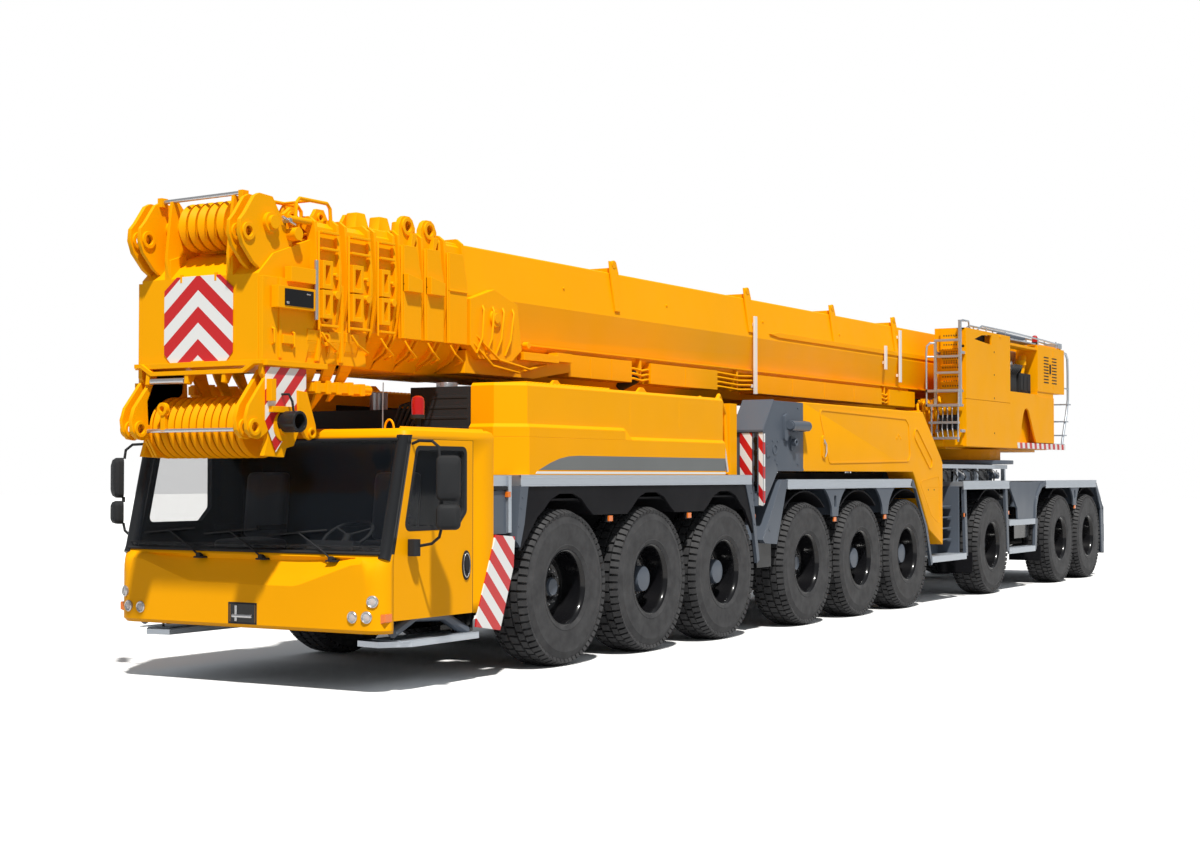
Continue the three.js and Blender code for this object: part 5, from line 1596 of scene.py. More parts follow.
        between.box(1.10, 1.135, 3.52, 3.88, z, z + 0.03)
    between.use(TRIM).box(-0.55, 0.28, 3.34, 4.02, 1.80, 2.38).bar((0.88, 3.70, 2.30), (0.88, 3.70, 2.44),
            0.11, 24)
    between.use(STEEL).tube([(1.36, 3.36, 1.81), (1.36, 3.36, 2.05), (1.36, 3.52, 2.12),
                             (1.36, 3.60, 1.84)], 0.016, 8)
    between.use(HOSE)
    for i in range(4):
        between.tube([(1.0 - i * 0.1, 3.48, 2.3), (1.05 - i * 0.1, 3.42, 2.48), (1.0 - i * 0.12, 3.6, 2.56),
                      (0.9 - i * 0.1, 3.8, 2.34)], 0.018, 8)
    between.use(YELLOW).box(-1.20, -0.62, 3.50, 3.90, 1.80, 2.40)
    between.done("valve_blocks", "chassis", 0.005)


add_frame()
print("frame built from", round(FIRST_AXLE, 2), "to the rear bar")

# %% [markdown]
# ## Superstructure
# The left housing is rebuilt as cabinets: a tall one with a vent cut in its skin, an open bay with machinery,
# a louvred box, and a lower skirt over a striped bar. An aluminium ladder stands in front of it. The crane
# cab has glass in its frames, and the winch drum carries rope wound in grooves.

# %% Left housing
HOUSE_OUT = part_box("housing_left")[1][0]
CABINET_IN = 0.9615
RED_WHITE = stripes("stripes_bar", 0.125, (0.0, 1.0, 0.25))


def add_left_housing():
    out = HOUSE_OUT
    house = Work(YELLOW)
    skin = out - 0.03
    house.box(CABINET_IN, skin - 0.12, 11.25, 13.30, 2.23, 3.995)
    house.box(skin - 0.13, skin, 11.25, 13.30, 2.23, 3.74).box(skin - 0.13, skin, 12.45, 13.30, 3.70, 3.995)
    house.box(skin - 0.13, skin, 11.25, 11.58, 3.70, 3.995).box(skin - 0.13, skin, 11.25, 13.30, 3.965, 3.995)
    vent = [(11.62, 3.845), (11.95, 3.925), (12.40, 3.955), (12.40, 3.805)]
    house.hollow_across(skin, out, [(11.25, 2.943), (13.30, 2.943), (13.30, 3.995), (11.25, 3.995)], vent)
    house.across(skin, out, [(11.25, 2.235), (13.68, 2.235), (13.95, 2.78), (14.02, 2.86), (14.12, 2.89),
                             (14.22, 2.86), (14.28, 2.78), (14.62, 2.34), (15.60, 2.34), (15.60, 3.10),
                             (13.30, 3.10), (13.30, 2.937), (11.25, 2.937)])
    house.box(CABINET_IN, skin - 0.10, 13.30, 15.60, 2.23, 3.095).box(skin - 0.11, skin, 13.30, 13.64, 2.24,
            3.095)
    house.box(skin - 0.11, skin, 14.70, 15.60, 2.34, 3.095).box(skin - 0.11, skin, 13.3, 15.6, 2.92, 3.095)
    house.box(CABINET_IN, out, 14.72, 16.20, 3.185, 3.945).box(1.0, 1.44, 14.72, 15.6, 3.09, 3.19)
    house.box(out - 0.002, out + 0.004, 15.56, 15.565, 3.25, 3.90).box(CABINET_IN, 1.05, 13.30, 14.72, 3.10,
            3.90)
    house.box(1.40, out, 13.30, 14.74, 3.10, 3.13).box(1.20, out - 0.01, 13.30, 14.74, 3.86, 3.90)
    for d, z in ((12.52, 3.70), (12.52, 2.99), (12.52, 2.45), (12.52, 3.35)):
        house.use(TRIM).bar((out, d, z), (out + 0.004, d, z), 0.014, 12)
    house.use(YELLOW).bar((out - 0.02, 12.8, 3.96), (out + 0.012, 12.8, 3.96), 0.02, 12)
    house.use(YELLOW).box(1.02, 1.40, 14.90, 16.1, 3.94, 3.975)
    house.use(TRIM)
    for side in (15.05, 15.50):
        for i in range(9):
            z = 3.34 + i * 0.052
            house.across(out, out + 0.003, [(side, z), (side + 0.26, z), (side + 0.26, z + 0.020),
                                            (side, z + 0.020)])
    house.box(out, out + 0.012, 15.36, 15.42, 3.50, 3.66)
    house.box(skin - 0.10, skin - 0.096, 11.60, 12.46, 3.70, 3.98)
    house.done("left_cabinets", "superstructure", 0.007, ["housing_left"])
    bar = Work(RED_WHITE)
    bar.box(1.385, out + 0.002, 13.64, 16.24, 2.237, 2.328)
    bar.use(YELLOW).box(1.00, 1.385, 13.70, 16.22, 2.245, 2.325)
    bar.done("rear_side_bar", "superstructure", 0.003)
    bay = Work(TRIM)
    bay.box(1.06, 1.34, 13.36, 13.95, 3.13, 3.50).box(1.08, 1.36, 14.02, 14.62, 3.13, 3.46)
    bay.use(STEEL).bar((1.10, 13.70, 3.56), (1.34, 13.70, 3.56), 0.07, 20).box(1.06, 1.12, 13.4, 14.6, 3.60,
            3.84)
    bay.use(YELLOW).tube([(1.22, 14.66, 3.74), (1.26, 14.50, 3.72), (1.28, 14.40, 3.62),
                          (1.26, 14.36, 3.40), (1.24, 14.34, 3.18)], 0.062, 16)
    bay.bar((1.27, 14.38, 3.60), (1.27, 14.38, 3.68), 0.09, 20).bar((1.25, 14.34, 3.28),
            (1.25, 14.34, 3.34), 0.08, 20)
    for i in range(6):
        bay.box(1.30, 1.37, 13.33, 13.50, 3.30 + i * 0.075, 3.33 + i * 0.075)
    bay.use(HOSE)
    for i in range(5):
        bay.tube([(1.34, 13.55 + i * 0.08, 3.42), (1.39, 13.60 + i * 0.09, 3.52),
                  (1.36, 13.80 + i * 0.09, 3.58), (1.28, 14.0 + i * 0.08, 3.48)], 0.014, 8)
    bay.use(TRIM)
    for i in range(3):
        bay.box(1.365, 1.372, 14.06 + i * 0.18, 14.20 + i * 0.18, 3.18, 3.42)
    bay.done("machinery_bay", "superstructure", 0.006)


# %% Ladder, handrails and roof rails


def add_ladder():
    front = 11.045
    ladder = Work(ALUMINIUM)
    ladder.box(1.400, 1.440, front, front + 0.045, 2.82, 4.085).box(1.022, 1.060, front, front + 0.040,
            2.82, 3.80)
    for z in (3.785, 3.545, 3.305):
        ladder.box(1.03, 1.43, front - 0.002, front + 0.05, z, z + 0.032)
    for z in (3.035, 2.820):
        ladder.box(0.905, 1.42, front - 0.045, front + 0.01, z, z + 0.036)
        ladder.box(0.905, 1.42, front + 0.135, front + 0.165, z, z + 0.036).box(0.905, 0.935, front - 0.045,
                front + 0.165, z, z + 0.036)
    for x in (0.915, 1.41):
        ladder.bar((x, front - 0.02, 2.83), (x, front - 0.02, 3.06), 0.014, 10)
    for z in (2.565, 2.335):
        ladder.box(0.945, 1.40, front - 0.02, front + 0.05, z, z + 0.034)
    for x in (0.965, 1.375):
        ladder.bar((x, front + 0.05, 2.30), (x, front + 0.05, 2.84), 0.013, 10)
    ladder.tube([(1.04, front + 0.02, 3.765), (0.975, front - 0.03, 3.765), (0.93, front - 0.04, 3.72),
                 (0.92, front - 0.04, 3.60), (0.92, front - 0.04, 3.08)], 0.016, 10)
    ladder.bar((0.92, front - 0.04, 3.56), (1.04, front + 0.02, 3.56), 0.012, 10)
    ladder.tube([(1.42, front + 0.02, 4.07), (1.42, front + 0.14, 4.10), (1.42, front + 0.40, 4.10),
                 (1.42, front + 0.46, 3.99)], 0.015, 10)
    ladder.box(1.38, 1.445, front + 0.05, front + 0.22, 4.085, 4.10)
    for z in (2.44, 3.60):
        ladder.box(1.405, 1.435, front + 0.04, 11.26, z, z + 0.04).box(1.025, 1.055, front + 0.04, 11.26, z,
                z + 0.04)
    ladder.use(YELLOW).box(1.07, 1.395, 11.20, 11.212, 3.07, 3.98)
    for z in (3.18, 3.42, 3.66):
        ladder.box(1.07, 1.395, 11.14, 11.21, z, z + 0.012)
    ladder.use(TRIM)
    for i in range(8):
        for k in range(12):
            x, z = 1.10 + i * 0.038 + 0.019 * (k % 2), 3.12 + k * 0.068
            ladder.box(x, x + 0.016, 11.197, 11.2005, z, z + 0.022)
            if 3 < k < 8:
                ladder.box(x, x + 0.016, 11.197, 11.2005, z + 0.033, z + 0.050)
    ladder.done("ladder", "superstructure", 0.002)
    rails = Work(ALUMINIUM)
    for x in (1.40, 0.98):
        path = [(x, 16.19, 3.92), (x, 16.46, 3.90), (x, 16.56, 3.82), (x, 16.58, 3.60), (x, 16.58, 3.12),
                (x, 16.48, 2.86), (x, 16.24, 2.40), (x, 16.20, 2.26)]
        rails.tube(path, 0.021, 12)
        rails.bar((x, 16.19, 3.30), (x, 16.58, 3.30), 0.014, 10)
    for d, z in ((16.53, 3.02), (16.38, 2.72), (16.27, 2.48)):
        rails.box(0.96, 1.42, d - 0.02, d + 0.16, z, z + 0.022)
    rails.box(0.97, 1.42, 16.10, 16.24, 2.26, 2.29).box(0.98, 1.42, 15.60, 15.64, 2.34, 3.10)
    rails.box(0.97, 1.44, 15.60, 16.24, 2.31, 2.34)
    for x, z in ((1.40, 4.075), (1.20, 4.090)):
        rails.tube([(x, 11.9, z - 0.07), (x, 12.1, z), (x, 13.6, z), (x, 15.2, z - 0.02),
                    (x, 16.1, z - 0.04), (x, 16.16, z - 0.14)], 0.015, 10)
        for d in (12.3, 13.2, 14.9, 15.9):
            rails.bar((x, d, 3.94), (x, d, z), 0.012, 8)
    rails.box(1.18, 1.42, 13.30, 14.72, 3.955, 3.975).box(1.19, 1.42, 15.95, 16.18, 3.97, 4.055)
    rails.use(GREY).box(1.36, 1.41, 12.9, 14.2, 3.99, 4.03)
    rails.use(TRIM).bar((1.30, 15.05, 3.97), (1.30, 15.05, 4.02), 0.055, 20)
    rails.use(RED_LAMP).turned([(0.0, -0.05), (0.048, -0.05), (0.048, 0.03), (0.03, 0.06), (0.0, 0.068)],
                               (1.30, 15.05, 4.068), (0, 0, 1), 24)
    rails.done("rails_and_beacon", "superstructure", 0.002)


def add_hydraulics():
    lines = Work(YELLOW)
    for i in range(5):
        x = 0.70 + i * 0.085
        lines.tube([(x, 11.60, 2.44), (x + 0.02, 11.30, 2.46 + 0.03 * i), (x + 0.06, 11.12, 2.60 + 0.05 * i),
                    (x + 0.02, 11.16, 2.84 + 0.03 * i), (x - 0.03, 11.36, 2.92)], 0.022, 8)
    lines.box(0.62, 0.95, 11.30, 11.68, 2.43, 2.78).bar((0.72, 11.25, 2.30), (1.10, 11.25, 2.30), 0.06, 20)
    lines.box(0.975, 1.40, 11.22, 11.25, 2.25, 2.46)
    lines.use(STEEL)
    for i in range(4):
        lines.tube([(1.02 + i * 0.08, 11.23, 2.34), (1.03 + i * 0.08, 11.14, 2.50),
                    (1.05 + i * 0.07, 11.16, 2.72), (1.0 + i * 0.08, 11.23, 2.86)], 0.012, 8)
    lines.use(TRIM).box(1.05, 1.34, 11.18, 11.24, 2.48, 2.70)
    lines.use(HOSE)
    for i in range(4):
        lines.tube([(-0.62 - i * 0.07, 11.62, 2.44), (-0.66 - i * 0.07, 11.3, 2.52),
                    (-0.70 - i * 0.06, 11.2, 2.78), (-0.62 - i * 0.07, 11.5, 2.96)], 0.02, 8)
    lines.done("hydraulic_lines", "superstructure", 0.003)
    ring = Work(DARK)
    ring.turned([(1.10, -0.055), (1.235, -0.055), (1.235, 0.060), (1.10, 0.060)], (0, SLEW[1], 2.115),
                (0, 0, 1), 64)
    for i in range(36):
        a = math.radians(10 * i + 5)
        ring.bar((1.16 * math.cos(a), SLEW[1] + 1.16 * math.sin(a), 2.05),
                 (1.16 * math.cos(a), SLEW[1] + 1.16 * math.sin(a), 2.19), 0.016, 8)
    ring.done("slewing_ring", "superstructure", 0.002)
    right = Work(TRIM)
    out = -HOUSE_OUT
    for d in (11.5, 12.4):
        for i in range(12):
            right.box(out - 0.003, out + 0.002, d, d + 0.65, 3.20 + i * 0.055, 3.222 + i * 0.055)
    right.use(YELLOW).box(out - 0.004, out, 11.42, 11.43, 2.4, 3.9).box(out - 0.004, out, 13.18, 13.19, 2.4,
            3.9)
    right.use(ALUMINIUM)
    for x in (-1.40, -1.05):
        right.tube([(x, 11.35, 4.0), (x, 11.37, 4.10), (x, 13.1, 4.10), (x, 13.2, 4.0)], 0.015, 10)
    right.use(STEEL).tube([(-1.40, 13.6, 3.12), (-1.40, 13.62, 3.9), (-1.38, 14.5, 3.9),
                           (-1.38, 14.55, 3.12)], 0.016, 10)
    right.done("right_housing_details", "superstructure", 0.002)


add_left_housing()
add_ladder()
add_hydraulics()


# %% Winch drum and its rope
ROPE_TURNS = 34


def add_winch():
    x, d, z = middle("winch_drum")
    d -= FIRST_AXLE
    drum = Work(STEEL)
    profile = [(0.0, -0.445), (0.37, -0.445), (0.37, -0.415), (0.27, -0.415)]
    profile += [(0.27, 0.415), (0.37, 0.415), (0.37, 0.445), (0.0, 0.445)]
    drum.turned(profile, (x, d, z), (1, 0, 0), 48)
    drum.use(ROPE)
    wound = [(0.28, -0.41)]
    for i in range(ROPE_TURNS):
        a = -0.408 + i * 0.0240
        wound += [(0.292, a), (0.305, a + 0.006), (0.305, a + 0.016), (0.292, a + 0.022)]
    drum.turned(wound + [(0.28, 0.41)], (x, d, z), (1, 0, 0), 48)
    drum.use(TRIM)
    for i in range(6):
        a = math.radians(60 * i)
        for end in (-0.449, 0.445):
            drum.bar((x + end, d + 0.2 * math.cos(a), z + 0.2 * math.sin(a)),
                     (x + end + 0.004, d + 0.2 * math.cos(a), z + 0.2 * math.sin(a)), 0.035, 12)
    drum.done("wound_drum", "winch_drum", 0.002, ["winch_drum"])


# %% Crane cab: panes, frames and controls
def add_crane_cab():
    low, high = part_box("crane_cab")
    out, inn = low[0], high[0]
    cab = Work(WINDOW)
    side = [(15.19, 3.155), (15.255, 3.835), (16.295, 3.835), (16.295, 3.155)]
    for x in (out + 0.018, inn - 0.026):
        cab.across(x, x + 0.008, side)
    x = out + 0.09
    cab.loft([(x, 15.035, 3.04), (inn - 0.09, 15.035, 3.04), (inn - 0.09, 15.150, 3.845), (x, 15.150, 3.845)],
             [(x, 15.043, 3.04), (inn - 0.09, 15.043, 3.04), (inn - 0.09, 15.158, 3.845), (x, 15.158, 3.845)])
    cab.use(TRIM)
    for x in (out - 0.004, inn - 0.010):
        cab.hollow_across(x, x + 0.014, rounded([(15.16, 3.12), (15.225, 3.87), (16.33, 3.87),
                                                 (16.33, 3.12)], 0.04, 4),
                          rounded([(15.205, 3.165), (15.265, 3.825), (16.285, 3.825), (16.285, 3.165)],
                                  0.03, 4))
    cab.box(out + 0.12, inn - 0.12, 16.499, 16.503, 3.28, 3.84).box(out + 0.02, inn - 0.02, 15.35, 16.3,
            3.949, 3.956)
    cab.use(WINDOW).box(out + 0.15, inn - 0.15, 16.503, 16.506, 3.31, 3.81).use(TRIM)
    cab.box(out + 0.20, inn - 0.2, 15.30, 15.50, 2.775, 3.25).box(out + 0.17, inn - 0.17, 15.22, 15.30,
                                                                  3.15, 3.45)
    middle_x = (out + inn) / 2
    for x in (middle_x - 0.30, middle_x + 0.27):
        cab.box(x, x + 0.05, 15.62, 16.05, 3.18, 3.28).bar((x + 0.025, 15.66, 3.28),
                                                           (x + 0.025, 15.64, 3.40), 0.012, 10)
    cab.use(TRIM).tube([(middle_x, 15.02, 3.02), (middle_x - 0.1, 15.06, 3.30),
                        (middle_x - 0.22, 15.10, 3.60)], 0.010, 8)
    cab.box(middle_x - 0.27, middle_x + 0.05, 14.995, 15.02, 2.985, 3.02).bar((out - 0.012, 16.1, 3.0),
            (out - 0.012, 15.9, 3.0), 0.012, 10)
    cab.use(LAMP_GLASS).bar((middle_x - 0.2, 15.12, 3.975), (middle_x - 0.2, 15.04, 3.965), 0.05, 20)
    cab.bar((middle_x + 0.2, 15.12, 3.975), (middle_x + 0.2, 15.04, 3.965), 0.05, 20)
    cab.done("crane_cab_fittings", "crane_cab", 0.002)


add_winch()
add_crane_cab()
print("superstructure dressed; winch rope in", ROPE_TURNS, "turns")

# %% [markdown]
# ## Boom head
# The head is welded from thick plates: a nose box, two cheeks that carry the lower sheaves, and a pair of
# ears with pin holes above. Every plate with a hole is filled between two loops, so the hole is real. The
# sheaves are turned one by one, with the groove that the hoist rope runs in.

# %% Helpers for plates with holes and for sheaves
def drilled(work, x0, x1, outline, d, z, radius):
    """A side plate with one round hole, and a thick ring round the hole on its outer face."""
    work.hollow_across(x0, x1, outline, circle(d, z, radius))
    work.hollow_across(x0 - 0.018, x1 + 0.018, circle(d, z, radius * 1.75), circle(d, z, radius))


def sheave(work, x, d, z, radius, width=0.05):
    """One grooved disc, its rim turned in a V and its web dished."""
    half, groove = width / 2, radius - 0.042
    work.turned([(0.05, -half * 0.8), (groove - 0.05, -half * 0.45), (radius, -half), (groove, 0),
                 (radius, half), (groove - 0.05, half * 0.45), (0.05, half * 0.8)], (x, d, z), (1, 0, 0),
                40)


NOSE, NOSE_REAR = -3.395, -2.850
HEAD_BODY = "boom_head"
CHEEK_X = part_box("boom_head")[1][0] - 0.20
LOWER_SHEAVES = (-3.150, 2.200, 0.262)
UPPER_SHEAVES = (-3.215, 3.880, 0.205)


# %% The inner boom section, which stays hidden inside the others until they slide out
def add_inner_section():
    half, top, crease, bottom, wall = 0.480, 3.800, 3.500, 3.280, 0.030
    outer = [(half - 0.06, top), (half, crease), (half - 0.06, bottom), (0.06 - half, bottom),
             (-half, crease), (0.06 - half, top)]
    tube = Work(YELLOW)
    tube.hollow_along(-2.10, 12.40, outer, [(x * (1 - wall / half),
                                             z + (wall if z < crease else -wall) * (z != crease))
                                            for x, z in outer])
    tube.along(12.30, 12.39, [(x * 0.97, z) for x, z in outer])
    for d in (1.0, 4.0, 7.0, 10.0):
        tube.box(0.20, 0.24, d, d + 0.5, top - 0.001, top + 0.006).box(-0.24, -0.20, d, d + 0.5,
                top - 0.001, top + 0.006)
    tube.done("inner_section", HEAD_BODY, 0.008)


# %% Nose box
def add_nose():
    nose = Work(YELLOW)
    side = [(NOSE, 2.72), (NOSE, 3.44), (-3.21, 3.62), (-2.55, 3.85), (-2.00, 3.85), (-2.00, 2.80),
            (NOSE_REAR, 2.72)]
    nose.across(-0.645, 0.645, side)
    nose.upward(2.690, 2.735, [(-0.735, NOSE + 0.01), (-0.42, NOSE - 0.035), (0.42, NOSE - 0.035),
                               (0.735, NOSE + 0.01), (0.735, -2.62), (-0.735, -2.62)])
    nose.along(NOSE - 0.035, NOSE + 0.01, [(-0.70, 2.735), (-0.62, 2.735), (-0.50, 2.665), (0.50, 2.665),
                                           (0.62, 2.735), (0.70, 2.735), (0.70, 2.700), (0.63, 2.700),
                                           (0.51, 2.630), (-0.51, 2.630), (-0.63, 2.700), (-0.70, 2.700)])
    for x in (-0.655, 0.655):
        nose.box(x - 0.012, x + 0.012, NOSE + 0.02, -2.02, 2.74, 3.42)
    for away in (-1, 1):
        outer = away * 0.668
        for d, lean in ((-3.20, 0.0), (-2.72, 0.06), (-2.40, 0.0)):
            nose.across(outer, outer + away * 0.035, [(d, 2.76), (d + 0.03, 2.76), (d + 0.03 + lean, 3.42),
                                                      (d + lean, 3.42)])
        nose.box(outer, outer + away * 0.075, -3.10, -2.78, 3.395, 3.52)
        nose.box(outer, outer + away * 0.05, -3.17, -3.02, 2.88, 2.95)
        for d, z in ((-3.27, 3.20), (-3.27, 2.86), (-3.02, 2.84)):
            nose.tube([(outer, d, z), (outer + away * 0.05, d - 0.01, z + 0.02),
                       (outer + away * 0.05, d - 0.01, z + 0.13), (outer, d, z + 0.15)], 0.010, 8)
        for z in (2.95, 3.13):
            nose.hollow_across(outer, outer + away * 0.045, circle(-2.615, z, 0.062),
                               circle(-2.615, z, 0.036))
    for x in (-0.19, 0.19):
        nose.box(x - 0.012, x + 0.012, NOSE - 0.012, NOSE + 0.01, 3.40, 3.47)
    nose.box(-0.07, 0.07, NOSE - 0.018, NOSE + 0.01, 2.705, 2.745)
    nose.done("nose_box", HEAD_BODY, 0.006, ["boom_head"])
    plate = Work(CHEVRON)
    plate.along(NOSE - 0.010, NOSE - 0.004, [(-0.38, 2.81), (-0.30, 2.725), (0.30, 2.725), (0.38, 2.81),
                                             (0.38, 3.34), (0.24, 3.45), (-0.24, 3.45), (-0.38, 3.34)])
    plate.done("chevron_plate", HEAD_BODY, 0.001)
    box = Work(YELLOW)
    box.box(0.70, 0.775, -3.30, -2.83, 3.165, 3.345).box(0.66, 0.71, -3.05, -2.95, 3.20, 3.30)
    box.use(RIM_BLACK).box(0.772, 0.781, -3.22, -2.86, 3.185, 3.325)
    box.use(STEEL).box(0.778, 0.784, -3.20, -3.17, 3.20, 3.22).box(0.778, 0.784, -2.95, -2.90, 3.29, 3.30)
    box.done("load_display_box", HEAD_BODY, 0.004)


# %% Ears, cheeks and their pins
EAR = [(-3.24, 3.42), (-3.43, 3.53), (-3.555, 3.66), (-3.595, 3.76), (-3.585, 3.86), (-3.53, 3.92),
       (-3.42, 4.07), (-3.36, 4.10), (-3.20, 4.09), (-2.98, 3.78), (-2.92, 3.66), (-3.05, 3.50)]
LOWER_EAR = [(-3.20, 2.70), (-3.31, 2.66), (-3.56, 2.36), (-3.595, 2.26), (-3.58, 2.16), (-3.52, 2.10),
             (-3.44, 2.09), (-3.35, 2.14), (-3.16, 2.36), (-3.00, 2.50), (-2.98, 2.70)]
CHEEK_PLATE = [(-3.39, 3.42), (-3.39, 2.62), (-3.27, 2.47), (-3.33, 2.26), (-3.32, 2.10), (-3.37, 1.955),
               (-3.12, 1.945), (-3.09, 2.02), (-3.00, 2.04), (-2.86, 2.30), (-2.86, 2.74), (-2.62, 3.42)]
TAIL_LUG = [(-2.99, 2.50), (-2.87, 2.49), (-2.76, 2.22), (-2.75, 2.16), (-2.78, 2.11), (-2.83, 2.09),
            (-2.88, 2.11), (-2.98, 2.26)]


def add_head_plates():
    plates = Work(YELLOW)
    drilled(plates, 0.585, 0.625, EAR, -3.500, 3.770, 0.042)
    drilled(plates, 0.475, 0.510, EAR, -3.500, 3.770, 0.042)
    plates.bar((0.56, -3.24, 3.87), (0.66, -3.24, 3.87), 0.085, 28).bar((0.655, -3.24, 3.87),
            (0.69, -3.24, 3.87), 0.058, 24)
    plates.bar((0.50, -3.05, 3.70), (0.60, -3.05, 3.70), 0.05, 20)
    drilled(plates, 0.555, 0.595, LOWER_EAR, -3.500, 2.185, 0.040)
    drilled(plates, 0.668, 0.700, LOWER_EAR, -3.500, 2.185, 0.040)
    plates.across(0.645, 0.690, CHEEK_PLATE)
    drilled(plates, 0.690, 0.722, TAIL_LUG, -2.815, 2.150, 0.026)
    plates.bar((0.60, -3.15, 2.20), (0.715, -3.15, 2.20), 0.125, 32).bar((0.71, -3.15, 2.20),
            (0.735, -3.15, 2.20), 0.07, 24)
    plates.box(0.690, 0.745, -3.33, -3.05, 2.31, 2.36).box(0.690, 0.76, -3.36, -3.30, 2.40, 2.58)
    plates.use(TRIM).tube([(0.70, -3.17, 2.46), (0.78, -3.17, 2.46), (0.80, -3.15, 2.40),
                           (0.80, -3.13, 2.30)], 0.011, 8)
    plates.use(STEEL).bar((0.62, -3.06, 3.905), (0.70, -3.06, 3.905), 0.02, 12).bar((0.66, -3.12, 3.93),
            (0.66, -2.96, 3.88), 0.012, 10)
    plates.bar((0.60, -3.30, 2.325), (0.74, -3.30, 2.325), 0.018, 12)
    plates.mirror().done("head_plates", HEAD_BODY, 0.005)
    striped = Work(NOSE_STRIPES)
    striped.across(0.700, 0.706, [(-3.37, 2.68), (-3.37, 2.24), (-3.24, 1.985), (-2.97, 2.30),
                                  (-2.865, 2.42), (-2.865, 2.68)])
    striped.mirror().done("striped_side_plates", HEAD_BODY, 0.001)
    pipe = Work(DARK)
    pipe.hollow_across(0.705, 0.885, circle(-3.15, 2.235, 0.088, 28), circle(-3.15, 2.235, 0.066, 28))
    pipe.mirror().done("head_pipe_ends", HEAD_BODY, 0.003)


# %% Sheaves, their guards and shafts
def add_sheaves():
    sheaves = Work(YELLOW)
    d, z, radius = LOWER_SHEAVES
    for i in range(13):
        sheave(sheaves, -0.54 + i * 0.082, d, z, radius, 0.066)
    sheaves.bar((-0.64, d, z), (0.64, d, z), 0.10, 24)
    for x in (-0.615, -0.580):
        sheaves.across(x, x + 0.025, [(-3.42, 2.42), (-3.40, 2.10), (-3.30, 1.955), (-3.05, 1.95),
                                      (-2.92, 2.15), (-2.95, 2.68), (-3.30, 2.68)])
    d, z, radius = UPPER_SHEAVES
    for i in range(5):
        sheave(sheaves, -0.17 + i * 0.105, d, z, radius, 0.080)
    sheaves.bar((-0.50, d, z), (0.50, d, z), 0.085, 24)
    for x in (-0.365, 0.320):
        sheaves.across(x, x + 0.030, [(-3.39, 3.42), (-3.42, 3.62), (-3.36, 4.10), (-3.28, 4.10),
                                      (-3.10, 3.92), (-3.02, 3.62)])
        sheaves.across(x - 0.02, x + 0.05, [(-3.395, 3.44), (-3.40, 3.60), (-3.22, 3.66), (-3.20, 3.58)])
    sheaves.box(-0.56, 0.56, -3.02, -2.96, 3.64, 3.92)
    sheaves.done("sheaves", HEAD_BODY, 0.002)
    guards = Work(STEEL)
    guards.bar((-0.46, -3.335, 4.105), (0.42, -3.335, 4.120), 0.018, 14)
    guards.bar((-0.60, -3.425, 2.170), (0.60, -3.425, 2.170), 0.016, 14)
    guards.bar((-0.52, -3.405, 2.585), (-0.14, -3.405, 2.585), 0.026, 16)
    guards.use(YELLOW)
    for x in (-0.47, 0.43):
        guards.box(x - 0.025, x + 0.025, -3.375, -3.30, 4.06, 4.138)
    for x in (-0.55, -0.11, 0.30):
        guards.across(x - 0.02, x + 0.02, [(-3.42, 2.66), (-3.43, 2.56), (-3.38, 2.55), (-3.30, 2.68)])
    guards.hollow_along(-3.45, -3.41, [(a + 3.0, b) for a, b in circle(-3.36, 2.35, 0.055)],
                        [(a + 3.0, b) for a, b in circle(-3.36, 2.35, 0.026)])
    guards.box(-0.385, -0.335, -3.44, -3.40, 2.16, 2.30)
    for x in (-0.58, 0.56):
        guards.box(x, x + 0.03, -3.45, -3.38, 2.12, 2.22)
    guards.done("sheave_guards", HEAD_BODY, 0.003)


add_inner_section()
add_nose()
add_head_plates()
add_sheaves()
print("sheaves:", 13 + 5, "on cheeks at X", round(CHEEK_X, 2))

# %% [markdown]
# ## Collars
# Each telescopic section ends in a collar that guides the next one. A collar is two ring plates joined by a
# skin, and one function makes them all. A higher level is a smaller section: the widest collars carry broad
# side plates and tall eye lugs, and the smallest carry ladder frames with open rungs.

# %% Collar with lugs, pad housings and shoe
BOOM_TOP, BOOM_CREASE, BOOM_KEEL = 3.980, 3.500, 2.740


def collar_loop(grow, low):
    half = 0.715 + grow
    return [(half - 0.10, BOOM_TOP + grow), (half - 0.035, BOOM_TOP - 0.05 + grow),
            (half, BOOM_CREASE + 0.05), (half, BOOM_CREASE - 0.12), (half - 0.05, 3.05),
            (half - 0.16, low + 0.13), (0.36, low), (-0.36, low), (0.16 - half, low + 0.13),
            (0.05 - half, 3.05), (-half, BOOM_CREASE - 0.12), (-half, BOOM_CREASE + 0.05),
            (0.035 - half, BOOM_TOP - 0.05 + grow), (0.10 - half, BOOM_TOP + grow)]


